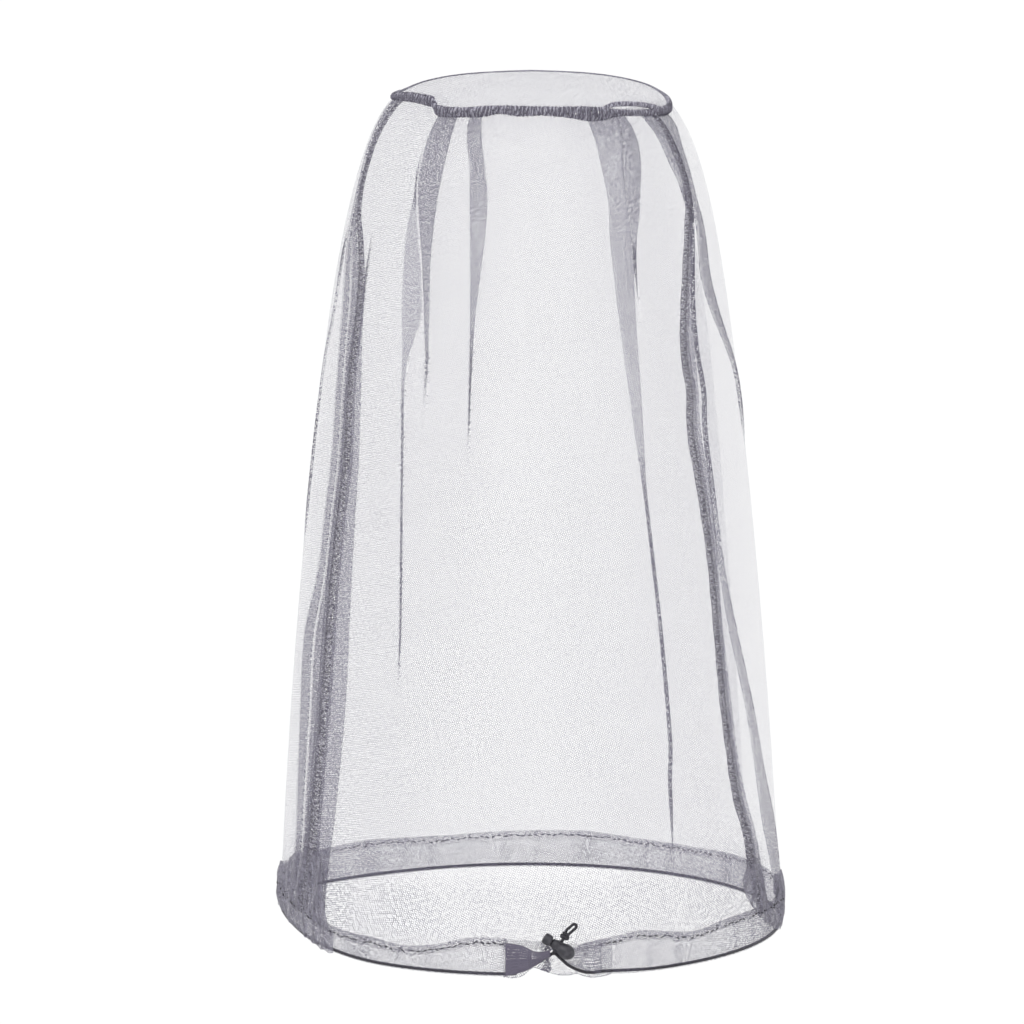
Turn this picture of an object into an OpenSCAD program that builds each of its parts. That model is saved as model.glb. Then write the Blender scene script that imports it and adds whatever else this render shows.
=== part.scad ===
// Slip-over beekeeping veil of fine mesh. A round crown is gathered onto a front and a back net
// panel, the two panels meet in side seams, and a turned-up hem holds an elastic draw cord that
// leaves at the front and runs up through a spring cord lock to a knot and an end loop.
// The origin is the underside of the crown's centre, where the wearer's hat touches it.
// +Z is up and the front of the veil faces -Y. Angles called az are measured from the front
// towards +X. All sizes are in millimetres.

/* [Veil] */
// Diameter of the crown at its seam
crown_d = 152; // [140:1:170]
// Height of the crown's centre above its seam
crown_rise = 12; // [10:1:18]
// Length from the crown seam down to the bottom of the hem
veil_length = 470; // [420:5:520]
// Diameter of the opening at the hem
hem_d = 282; // [260:2:310]
// Share of the depth at which the shoulder starts to round
shoulder_start = 0.01; // [0.005:0.005:0.05]
// Power of the shoulder's curve, lower for a squarer shoulder
shoulder_power = 0.35; // [0.25:0.05:0.6]
// Thickness given to the net
net_wall = 0.5; // [0.4:0.1:1]

/* [Seams] */
// Angle of each side seam from the front
seam_az = 57; // [50:1:65]
// Angle that a side seam's folded edges take up
seam_span = 3; // [2:0.5:4]
// Thickness of a side seam
seam_wall = 1.2; // [0.9:0.1:1.6]
// Height of the gathered crown seam
gather_h = 5.4; // [4:0.2:7]
// Thickness of the gathered crown seam
gather_wall = 2.4; // [1.6:0.2:3]
// Thickness of the sewing thread
thread_d = 0.4; // [0.3:0.1:0.5]

/* [Hem] */
// Height of the hem
hem_h = 18; // [16:1:24]
// Thickness of the doubled net in the hem
hem_wall = 1.2; // [0.9:0.1:1.4]
// Outer radius of the fold that holds the cord
fold_r = 1.8; // [1.6:0.1:2.2]
// Radius of the channel inside that fold
channel_r = 1; // [0.95:0.05:1.2]
// Angles between which the hem's outer layer is open for the cord
exit_az = [-5, 16]; // [-20:1:30]

/* [Cord] */
// Diameter of the elastic cord
cord_d = 1.8; // [1.6:0.1:1.8]
// Diameter of the knot
knot_d = 5.4; // [4.5:0.1:6]
// Length of the knot
knot_l = 4.6; // [3.5:0.1:6]
// Length of the straight legs of the end loop
loop_l = 5.5; // [4:0.5:12]
// Distance between the two legs of the end loop
loop_w = 2.9; // [2.5:0.1:4]

/* [Cord lock] */
// Outside diameter of the barrel
barrel_d = 8.6; // [8.4:0.1:9.4]
// Diameter of the barrel's bore
bore_d = 6.5; // [6.3:0.1:6.8]
// Running clearance between plunger and bore, on the radius
bore_gap = 0.05; // [0.02:0.01:0.1]
// Travel of the plunger
press = 2.2; // [1.5:0.1:2.2]
// Angle by which the lock's head points above the horizontal, to the left
lock_tilt = 34; // [20:1:45]
// Clearance between a cord and what it runs through
cord_gap = 0.05; // [0.02:0.01:0.1]

/* [Hidden] */

$fn = 64;
eps = 0.01;

net_grey = [0.56, 0.55, 0.60];
dark_grey = [0.34, 0.33, 0.37];
cord_black = [0.15, 0.15, 0.17];
lock_grey = [0.27, 0.26, 0.28];

crown_r = crown_d / 2;
hem_r = hem_d / 2;
cord_r = cord_d / 2;
z_seam = -crown_rise;
z_net_top = z_seam - gather_h / 2;
z_hem = z_seam - veil_length;
z_hem_top = z_hem + hem_h;
z_cord = z_hem + fold_r;
net_depth = z_net_top - z_hem_top;
net_steps = 14;

// radius of the net's middle surface at a share t of its depth
function net_r(t) = crown_r + (hem_r - crown_r)
    * (pow(t + shoulder_start, shoulder_power) - pow(shoulder_start, shoulder_power))
    / (pow(1 + shoulder_start, shoulder_power) - pow(shoulder_start, shoulder_power));

// points down the net, closer together at the shoulder, moved out by off
function net_line(off) = [
    for (i = [0 : net_steps]) let (t = pow(i / net_steps, 2))
        [net_r(t) + off, z_net_top - net_depth * t]
];

function reversed(list) = [for (i = [len(list) - 1 : -1 : 0]) list[i]];

// turns what is drawn in the radius and height plane, from angle az1 to az2
module swept(az1, az2) {
    rotate([0, 0, az1 - 90]) rotate_extrude(angle = az2 - az1, $fn = 180) children();
}

// a wall that follows the net between two angles, from off_in to off_out of its middle surface
module net_wall_between(az1, az2, off_in, off_out) {
    swept(az1, az2) polygon(concat(net_line(off_out), reversed(net_line(off_in))));
}

// ---- crown ----

dome_steps = 12;
dome_h = crown_rise - gather_h / 2;

// quarter of an ellipse from the rim to the centre
function dome_line(grow) = [
    for (i = [0 : dome_steps]) let (a = 90 * (1 - i / dome_steps))
        [(crown_r + grow / 2) * sin(a), z_seam + gather_h / 2 + (dome_h + grow) * cos(a)]
];

module crown_net() {
    color(net_grey) rotate_extrude($fn = 180)
        polygon(concat(dome_line(net_wall), reversed(dome_line(0))));
}

module crown_gathered_seam() {
    color(dark_grey) rotate_extrude($fn = 180)
        translate([crown_r - gather_wall / 2, z_net_top]) square([gather_wall, gather_h]);
}

module crown_overlock_thread() {
    color(cord_black) rotate_extrude($fn = 180)
        translate([crown_r + gather_wall / 2, z_seam - gather_h / 4])
            square([thread_d, gather_h / 4]);
}

// ---- panels and side seams ----

half_span = seam_span / 2;
thread_span = 0.8;

module front_net() {
    color(net_grey)
        net_wall_between(-seam_az + half_span, seam_az - half_span, -net_wall / 2, net_wall / 2);
}

module back_net() {
    color(net_grey)
        net_wall_between(seam_az + half_span, 360 - seam_az - half_span, -net_wall / 2, net_wall / 2);
}

module side_seam(az) {
    color(dark_grey) net_wall_between(az - half_span, az + half_span, -seam_wall / 2, seam_wall / 2);
}

module side_thread(az) {
    color(cord_black)
        net_wall_between(az - thread_span / 2, az + thread_span / 2, seam_wall / 2, seam_wall / 2 + thread_d);
}

// ---- hem ----

hem_out = hem_r + hem_wall / 2;
flap_in = hem_r - fold_r;
flap_wall = 0.7;
layer_gap = 0.2;

// doubled net with the cord's channel in its bottom fold
module hem_section() {
    difference() {
        union() {
            translate([hem_r - hem_wall / 2, z_cord]) square([hem_wall, z_hem_top - z_cord]);
            translate([hem_r, z_cord]) circle(r = fold_r);
        }
        translate([hem_r, z_cord]) circle(r = channel_r);
    }
}

// the inner layer alone, where the outer layer is open for the cord
module flap_section() {
    translate([flap_in, z_hem]) square([flap_wall, 2 * fold_r]);
    translate([flap_in, z_cord + channel_r + layer_gap])
        square([hem_r - flap_in, z_hem_top - z_cord - channel_r - layer_gap]);
}

module front_hem_casing() {
    color(dark_grey) {
        swept(-seam_az, exit_az[0]) hem_section();
        swept(exit_az[1], seam_az) hem_section();
        swept(exit_az[0], exit_az[1]) flap_section();
    }
}

module back_hem_casing() {
    color(dark_grey) swept(seam_az, 360 - seam_az) hem_section();
}

stitch_drop = 1.6;
stitch_end = 1;

module hem_stitching(az1, az2) {
    color(cord_black) swept(az1, az2)
        translate([hem_out, z_hem_top - stitch_drop]) square([thread_d, thread_d]);
}

facing_az = [-6.2, -2];
facing_wall = 0.7;
facing_drop = 2.5;

module cord_exit_facing() {
    color(dark_grey) swept(facing_az[0], facing_az[1])
        translate([hem_out, z_cord + fold_r + layer_gap])
            square([facing_wall, z_hem_top - facing_drop - z_cord - fold_r]);
}

// ---- cord lock, built along its own axis u with the strands crossing it at the origin ----

lock_x = 14.5;
lock_out = 7;
lock_up = 17;
lock_at = [lock_x, -hem_r - lock_out, z_cord + lock_up];
strand_w = cord_r + cord_gap;
slot_w = 2 * (strand_w + cord_r + cord_gap);
clamp_h = cord_r + cord_gap;
barrel_top = 4.2;
barrel_end = -5.9;
bore_end = -7;
head_gap = 0.1;
head_h = 2.8;
head_round = 0.8;
plunger_end = -2.4;

// the lock's frame: z along u, towards the head; x along v, towards the knot
module lock_frame() {
    translate(lock_at) multmatrix([
        [sin(lock_tilt), 0, -cos(lock_tilt), 0],
        [0, 1, 0, 0],
        [cos(lock_tilt), 0, sin(lock_tilt), 0],
        [0, 0, 0, 1]
    ]) children();
}

// a point of the lock's frame, in the veil's own frame
function lock_point(v, w, u) = lock_at
    + v * [sin(lock_tilt), 0, cos(lock_tilt)] + w * [0, 1, 0] + u * [-cos(lock_tilt), 0, sin(lock_tilt)];

module strand_slot(u1, u2) {
    translate([-barrel_d, -slot_w / 2, u1]) cube([2 * barrel_d, slot_w, u2 - u1]);
}

module lock_barrel() {
    color(lock_grey) lock_frame() difference() {
        union() {
            translate([0, 0, barrel_end]) cylinder(d = barrel_d, h = barrel_top - barrel_end);
            translate([0, 0, barrel_end]) sphere(d = barrel_d);
        }
        translate([0, 0, bore_end]) cylinder(d = bore_d, h = barrel_top - bore_end + 1);
        strand_slot(-clamp_h - press, clamp_h);
    }
}

module lock_plunger() {
    plunger_d = bore_d - 2 * bore_gap;
    head_z = barrel_top + press + head_gap;
    color(lock_grey) lock_frame() difference() {
        union() {
            translate([0, 0, plunger_end]) cylinder(d = plunger_d, h = head_z - plunger_end);
            translate([0, 0, head_z]) rotate_extrude() {
                square([plunger_d / 2 - head_round, head_h]);
                square([plunger_d / 2, head_h - head_round]);
                translate([plunger_d / 2 - head_round, head_h - head_round]) circle(r = head_round);
            }
        }
        strand_slot(-clamp_h, clamp_h + press);
    }
}

// ---- cords: an eight-sided tube swept along a list of points ----

tube_sides = 8;

function unit(v) = v / norm(v);
function way(p, i) = unit(p[min(i + 1, len(p) - 1)] - p[max(i - 1, 0)]);

// carries the tube's side direction along the route without twisting it
function sides_along(p, i, side) =
    let (t = way(p, i), s = unit(side - (side * t) * t))
    i == len(p) - 1 ? [s] : concat([s], sides_along(p, i + 1, s));

module tube(p, r) {
    n = tube_sides;
    first = abs(way(p, 0)[1]) < 0.9 ? [0, 1, 0] : [0, 0, 1];
    side = sides_along(p, 0, first);
    points = [
        for (i = [0 : len(p) - 1], k = [0 : n - 1])
            let (a = 360 * k / n, t = way(p, i), s = side[i])
                p[i] + r * (cos(a) * s + sin(a) * cross(t, s))
    ];
    walls = [
        for (i = [0 : len(p) - 2], k = [0 : n - 1])
            [i * n + k, (i + 1) * n + k, (i + 1) * n + (k + 1) % n, i * n + (k + 1) % n]
    ];
    near_end = [for (k = [0 : n - 1]) k];
    far_end = [for (k = [n - 1 : -1 : 0]) (len(p) - 1) * n + k];
    polyhedron(points, concat([near_end], walls, [far_end]), convexity = 6);
}

function on_hem(az, out, up) = [(hem_r + out) * sin(az), -(hem_r + out) * cos(az), z_cord + up];

cord_reach = 0.3;
entry_v = -barrel_d / 2 - cord_reach;
end_gap = 0.3;

// the two ends of the draw cord: x, distance in front of the hem's radius, height above the channel
left_route = [[-7, 0.8, 0.2], [-1.5, 2.1, 1.8], [3.2, 3.7, 4.6], [7.3, 5.2, 8], [10.1, 6, 10.9]];
right_route = [[33, -2, 0], [27, 1.8, 0.8], [20.5, 5.5, 3.2], [15.2, 7.6, 5.9], [11.6, 8.2, 8.7], [11, 8.1, 11.1]];

function from_route(list) = [for (q = list) [q[0], -hem_r - q[1], z_cord + q[2]]];

left_end = concat([on_hem(exit_az[0] + end_gap, 0, 0)], from_route(left_route), [lock_point(entry_v, strand_w, 0)]);
right_end = concat([on_hem(exit_az[1] - end_gap, 0, 0)], from_route(right_route), [lock_point(entry_v, -strand_w, 0)]);

module draw_cord() {
    color(cord_black) swept(exit_az[1], 360 + exit_az[0])
        translate([hem_r, z_cord]) circle(r = cord_r, $fn = 24);
}

module draw_cord_ends() {
    color(cord_black) {
        tube(left_end, cord_r);
        tube(right_end, cord_r);
    }
}

// ---- casing mouths: the hem's outer layer, drawn up to the lock above the cord ----

mouth_r = 0.6;

// one upright fold of net at x, out from the hem's radius, from low to high above the channel
module upright(x, out, low, high) {
    translate([x, -hem_r - out, z_cord + low]) cylinder(r = mouth_r, h = high - low, $fn = 16);
}

module mouth(folds) {
    for (i = [0 : len(folds) - 2]) hull() {
        upright(folds[i][0], folds[i][1], folds[i][2], folds[i][3]);
        upright(folds[i + 1][0], folds[i + 1][1], folds[i + 1][2], folds[i + 1][3]);
    }
}

module left_casing_mouth() {
    color(dark_grey) mouth([[-4.2, 1.9, 2.4, 14.5], [2, 3.3, 5.4, 12.6], [7, 5.1, 9.4, 12.2]]);
}

module right_casing_mouth() {
    color(dark_grey) mouth([[35, -3, 2.5, 14.5], [29, 0.3, 2.5, 13.5], [24.5, 1.2, 4.5, 12]]);
}

// ---- spring: a helix between the plunger and the bottom of the bore ----

spring_wire = 0.45;
spring_r = 2.5;
spring_turns = 4;
spring_steps = 14;
spring_low = bore_end + spring_wire / 2 + eps;
spring_high = plunger_end - spring_wire / 2 - eps;

module lock_spring() {
    steps = spring_turns * spring_steps;
    color([0.7, 0.7, 0.72]) lock_frame() tube([
        for (i = [0 : steps]) let (a = 360 * i / spring_steps)
            [spring_r * cos(a), spring_r * sin(a), spring_low + (spring_high - spring_low) * i / steps]
    ], spring_wire / 2);
}

// ---- tail: the two strands through the lock, the knot and the end loop ----

strand_gap = 0.35;
knot_v = barrel_d / 2 + cord_reach;
strand_start = entry_v + strand_gap;

module tail_strands() {
    color(cord_black) lock_frame() for (side = [-1, 1])
        translate([strand_start, side * strand_w, 0]) rotate([0, 90, 0])
            cylinder(r = cord_r, h = knot_v - strand_start, $fn = 24);
}

module cord_knot() {
    round_r = 1.2;
    color(cord_black) lock_frame() translate([knot_v, 0, 0]) rotate([0, 90, 0]) rotate_extrude() {
        square([knot_d / 2 - round_r, knot_l]);
        translate([0, round_r]) square([knot_d / 2, knot_l - 2 * round_r]);
        for (z = [round_r, knot_l - round_r])
            translate([knot_d / 2 - round_r, z]) circle(r = round_r, $fn = 32);
    }
}

loop_lean = 42;
loop_steps = 8;

module cord_end_loop() {
    base = lock_point(knot_v + knot_l + cord_r, 0, 0);
    along = [cos(loop_lean), 0, sin(loop_lean)];
    across = [-sin(loop_lean), 0, cos(loop_lean)];
    legs = loop_w / 2;
    bend = [
        for (i = [0 : loop_steps]) let (a = 180 * i / loop_steps)
            base + (loop_l + legs * sin(a)) * along + legs * cos(a) * across
    ];
    color(cord_black) tube(concat([base + legs * across], bend, [base - legs * across]), cord_r);
}

crown_net();
crown_gathered_seam();
crown_overlock_thread();
front_net();
back_net();
side_seam(-seam_az);  // left_side_seam
side_seam(seam_az);  // right_side_seam
side_thread(-seam_az);  // left_overlock_thread
side_thread(seam_az);  // right_overlock_thread
front_hem_casing();
back_hem_casing();
union() {  // front_hem_stitching
    hem_stitching(-seam_az, facing_az[0] - stitch_end);
    hem_stitching(exit_az[1] + stitch_end, seam_az);
}
hem_stitching(seam_az, 360 - seam_az);  // back_hem_stitching
cord_exit_facing();
left_casing_mouth();
right_casing_mouth();
draw_cord();
draw_cord_ends();
lock_barrel();
lock_plunger();
lock_spring();
tail_strands();
cord_knot();
cord_end_loop();
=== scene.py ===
import math
import random

import bmesh
import bpy
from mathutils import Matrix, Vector


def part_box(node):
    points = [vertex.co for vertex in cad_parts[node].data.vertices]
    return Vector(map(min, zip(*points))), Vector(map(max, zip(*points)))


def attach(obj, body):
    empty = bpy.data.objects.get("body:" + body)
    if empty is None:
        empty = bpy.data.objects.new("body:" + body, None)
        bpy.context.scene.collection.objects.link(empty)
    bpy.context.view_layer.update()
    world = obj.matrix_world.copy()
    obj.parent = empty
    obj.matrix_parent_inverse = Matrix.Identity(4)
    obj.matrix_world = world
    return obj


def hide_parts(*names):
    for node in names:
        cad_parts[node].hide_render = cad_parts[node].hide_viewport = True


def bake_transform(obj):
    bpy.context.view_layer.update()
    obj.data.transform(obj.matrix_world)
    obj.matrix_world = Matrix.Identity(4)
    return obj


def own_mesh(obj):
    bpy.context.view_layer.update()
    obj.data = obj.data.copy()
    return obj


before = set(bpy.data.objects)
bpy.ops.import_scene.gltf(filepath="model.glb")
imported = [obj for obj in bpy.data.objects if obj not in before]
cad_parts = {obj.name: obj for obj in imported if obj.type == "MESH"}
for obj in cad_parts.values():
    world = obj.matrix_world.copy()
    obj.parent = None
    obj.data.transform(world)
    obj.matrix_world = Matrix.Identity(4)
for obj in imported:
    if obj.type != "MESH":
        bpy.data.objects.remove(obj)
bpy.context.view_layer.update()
mm = 0.001

# The veil hangs round the Z axis and faces -Y. Tables give depths below the crown in millimetres
# and angles in degrees from the front towards +X, because that is how the veil is marked out.


def smooth(share):
    share = min(1.0, max(0.0, share))
    return share * share * (3 - 2 * share)


def valueAlong(table, at):
    # a smooth curve through the rows of a table, held level past its ends
    if at <= table[0][0]:
        return list(table[0][1:])
    if at >= table[-1][0]:
        return list(table[-1][1:])
    row = 0
    while table[row + 1][0] < at:
        row += 1
    before, here, after = table[max(row - 1, 0)], table[row], table[row + 1]
    beyond = table[min(row + 2, len(table) - 1)]
    length = after[0] - here[0]
    share = (at - here[0]) / length
    values = []
    for k in range(1, len(here)):
        slopeHere = (after[k] - before[k]) / (after[0] - before[0]) * length
        slopeAfter = (beyond[k] - here[k]) / (beyond[0] - here[0]) * length
        values.append(
            (2 * share**3 - 3 * share**2 + 1) * here[k]
            + (share**3 - 2 * share**2 + share) * slopeHere
            + (3 * share**2 - 2 * share**3) * after[k]
            + (share**3 - share**2) * slopeAfter
        )
    return values


def bump(at, middle, width):
    # a soft hump of height 1 round middle
    return math.exp(-((at - middle) / width) ** 2)


def place(angle, radius, depth):
    # a point in metres from an angle in degrees and millimetres
    turn = math.radians(angle)
    return Vector((radius * math.sin(turn), -radius * math.cos(turn), -depth)) * mm


def frontAngle(angle):
    # the same direction as an angle from -180 to 180
    return (angle + 180) % 360 - 180


def clothMesh(name, grid, uvs=None, gather=None, closed=False):
    # a cage of quads from rows of points, with its own UV map and its gather attribute
    rows, columns = len(grid), len(grid[0])
    verts = [point for row in grid for point in row]
    faces = []
    corners = []
    for i in range(rows - 1):
        for j in range(columns if closed else columns - 1):
            k = (j + 1) % columns
            here, below = i * columns, (i + 1) * columns
            faces.append((here + j, below + j, below + k, here + k))
            corners.append([(i, j), (i + 1, j), (i + 1, j + 1), (i, j + 1)])
    mesh = bpy.data.meshes.new(name)
    mesh.from_pydata(verts, [], faces)
    if uvs:
        layer = mesh.uv_layers.new(name="cloth")
        for face, quad in zip(mesh.polygons, corners):
            for loop, (i, j) in zip(face.loop_indices, quad):
                layer.data[loop].uv = uvs(i, j, quad[0][1])
    if gather:
        values = mesh.attributes.new("gather", "FLOAT", "POINT")
        for i in range(rows):
            for j in range(columns):
                values.data[i * columns + j].value = gather[i][j]
    for face in mesh.polygons:
        face.use_smooth = True
    piece = bpy.data.objects.new(name, mesh)
    bpy.context.scene.collection.objects.link(piece)
    return piece


def addStack(piece, *stack):
    # modifiers by kind and settings, in order
    for kind, settings in stack:
        modifier = piece.modifiers.new(kind.title(), kind)
        for setting, value in settings.items():
            setattr(modifier, setting, value)
    return piece


def applyStack(piece):
    bpy.context.view_layer.update()
    ready = piece.evaluated_get(bpy.context.evaluated_depsgraph_get())
    finished = bpy.data.meshes.new_from_object(ready, preserve_all_data_layers=True,
                                               depsgraph=bpy.context.evaluated_depsgraph_get())
    piece.modifiers.clear()
    piece.data = finished
    return piece


def rounder(levels=1):
    return ("SUBSURF", {"levels": levels, "render_levels": levels})


def wall(thickness, offset=0.0):
    return ("SOLIDIFY", {"thickness": thickness * mm, "offset": offset, "use_even_offset": False})


def turnOutwards(mesh, closeEnds=False):
    # faces all look out, and open ends are closed where asked
    shape = bmesh.new()
    shape.from_mesh(mesh)
    if closeEnds:
        ends = [edge for edge in shape.edges if edge.is_boundary]
        bmesh.ops.holes_fill(shape, edges=ends, sides=0)
    bmesh.ops.recalc_face_normals(shape, faces=shape.faces)
    shape.to_mesh(mesh)
    shape.free()


def tubeMesh(name, path, radius, sides=10):
    # a round tube along a path, with u once round it and v the length along it in metres
    path = [Vector(point) for point in path]
    last = len(path) - 1
    ways = [(path[min(i + 1, last)] - path[max(i - 1, 0)]).normalized() for i in range(len(path))]
    side = ways[0].orthogonal().normalized()
    lengths = [0.0]
    grid = []
    for i, (point, way) in enumerate(zip(path, ways)):
        side = (side - way * side.dot(way)).normalized()
        other = way.cross(side)
        if i:
            lengths.append(lengths[-1] + (point - path[i - 1]).length)
        turns = [2 * math.pi * k / sides for k in range(sides)]
        grid.append([point + (side * math.cos(turn) + other * math.sin(turn)) * radius for turn in turns])
    piece = clothMesh(name, grid, lambda i, j, first: (j / sides, lengths[i]), closed=True)
    turnOutwards(piece.data, closeEnds=True)
    return piece


def blankMaterial(name):
    # a material whose nodes are still to be made
    material = bpy.data.materials.new(name)
    material.use_nodes = True
    material.node_tree.nodes.clear()
    return material


def turnedMap(across, up, turn):
    # a place on the flat cloth, turned by an angle in radians
    return (across * math.cos(turn) - up * math.sin(turn), across * math.sin(turn) + up * math.cos(turn))


def pathLength(path):
    return sum((b - a).length for a, b in zip(path, path[1:]))


def curveThrough(points, steps=6):
    # points of a smooth curve through the given ones
    table = [(float(i), *point) for i, point in enumerate(points)]
    return [Vector(valueAlong(table, i / steps)) for i in range((len(points) - 1) * steps + 1)]


view = {
    "place": (-0.0106, -4.0, 0.4226),
    "aim": (-0.0106, 0.0, -0.248),
    "lens": 254.6,
    "floorDepth": 0.95,
    "skyStrength": 1.0,
    "sunStrength": 0.9,
    "sunTurn": (48, 12, -32),
    "sunSpread": 35,
    "sensor": 36,
    "farthest": 100,
    "floorHalf": 30.0,
    "seeThroughLayers": 48,
}


def makeStudio():
    print("camera, light and floor")
    camera = bpy.data.objects.new("camera", bpy.data.cameras.new("camera"))
    bpy.context.scene.collection.objects.link(camera)
    camera.location = view["place"]
    aim = Vector(view["aim"]) - camera.location
    camera.rotation_euler = aim.to_track_quat("-Z", "Y").to_euler()
    camera.data.lens = view["lens"]
    camera.data.sensor_width = view["sensor"]
    camera.data.clip_end = view["farthest"]
    bpy.context.scene.camera = camera

    sun = bpy.data.objects.new("softSun", bpy.data.lights.new("softSun", "SUN"))
    bpy.context.scene.collection.objects.link(sun)
    sun.data.energy = view["sunStrength"]
    sun.data.angle = math.radians(view["sunSpread"])
    sun.rotation_euler = [math.radians(turn) for turn in view["sunTurn"]]

    world = bpy.data.worlds.new("studio")
    bpy.context.scene.world = world
    world.use_nodes = True
    sky = world.node_tree.nodes["Background"]
    sky.inputs["Color"].default_value = (1.0, 1.0, 1.0, 1)
    sky.inputs["Strength"].default_value = view["skyStrength"]

    floorMesh = bpy.data.meshes.new("floor")
    half, low = view["floorHalf"], -view["floorDepth"]
    ends = [(-half, -half, low), (half, -half, low), (half, half, low), (-half, half, low)]
    floorMesh.from_pydata(ends, [], [(0, 1, 2, 3)])
    floor = bpy.data.objects.new("floor", floorMesh)
    bpy.context.scene.collection.objects.link(floor)
    floor.data.materials.append(floorPaint())
    bpy.context.scene.view_settings.view_transform = "Standard"
    bpy.context.scene.cycles.transparent_max_bounces = view["seeThroughLayers"]


def floorPaint():
    material = blankMaterial("floorPaint")
    nodes, links = material.node_tree.nodes, material.node_tree.links
    output = nodes.new("ShaderNodeOutputMaterial")
    output.location = (300, 0)
    paint = nodes.new("ShaderNodeBsdfPrincipled")
    paint.label = "pale matt floor"
    paint.location = (0, 0)
    paint.inputs["Base Color"].default_value = (0.86, 0.86, 0.86, 1)
    paint.inputs["Roughness"].default_value = 0.9
    paint.inputs["Specular IOR Level"].default_value = 0.1
    links.new(paint.outputs["BSDF"], output.inputs["Surface"])
    return material


netTop = -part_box("front_net")[1][2] / mm
hemTop = -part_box("back_hem_casing")[1][2] / mm
hemBottom = -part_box("back_hem_casing")[0][2] / mm
crownRadius = 76.0
hemRadius = 141.0
cordDepth = hemBottom - 1.8

veil = {
    "shoulderStart": 0.01,
    "shoulderPower": 0.35,
    # how far the hem is lifted above its flat ring, by angle
    "hemLift": [(-180, 0), (-150, 0.4), (-135, 1.6), (-120, 4), (-105, 7.5), (-92, 9.5), (-80, 9),
                (-68, 6.5), (-58, 3), (-50, 1.6), (-38, 0), (0, 0), (12, 0.8), (24, -0.6),
                (50, -0.4), (90, 0.4), (120, 0), (180, 0)],
    # depth of the hem's top edge, by angle
    "hemEdge": [(-180, 460.6), (-158, 461.6), (-140, 459), (-128, 458), (-112, 456), (-95, 454),
                (-75, 457), (-60, 461), (-49, 466), (-39, 466.5), (-29, 468.3), (-21, 465.5),
                (-13.5, 460.8), (-6, 460.6), (3, 462), (10, 463.8), (20, 460.5), (25, 459),
                (39, 463.6), (48, 461), (61, 460.5), (80, 462), (121, 461.5), (140, 462.6),
                (153, 462.3), (166, 460.2), (180, 460.6)],
}


def veilRadius(depth):
    share = min(1.0, max(0.0, (depth - netTop) / (hemTop - netTop)))
    start, power = veil["shoulderStart"], veil["shoulderPower"]
    full = (1 + start) ** power - start**power
    return crownRadius + (hemRadius - crownRadius) * ((share + start) ** power - start**power) / full


def hemLift(angle):
    return valueAlong(veil["hemLift"], frontAngle(angle))[0]


def hemEdge(angle):
    return valueAlong(veil["hemEdge"], frontAngle(angle))[0]


def drape(angle, depth):
    # slow waves of the hanging net, none where it is sewn
    free = smooth((depth - netTop) / 60) * smooth((hemTop + 6 - depth) / 60)
    turn = math.radians(angle)
    waves = (math.sin(5 * turn + 0.8 + depth / 160) + 0.7 * math.sin(9 * turn - 1.3 - depth / 95)
             + 0.4 * math.sin(17 * turn + 2.1 + depth / 70))
    return 0.9 * free * waves


def onVeil(angle, depth, out=0.0):
    # a point of the net at its nominal depth, moved out from its surface
    share = (depth - netTop) / (hemTop - netTop)
    drop = netEdgeDrop(angle) * (1 - min(1.0, max(0.0, share))) ** 6
    drop += (hemEdge(angle) + 2 - hemTop) * max(0.0, share) ** 8
    return place(angle, veilRadius(depth) + drape(angle, depth) + out, depth + drop)


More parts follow.
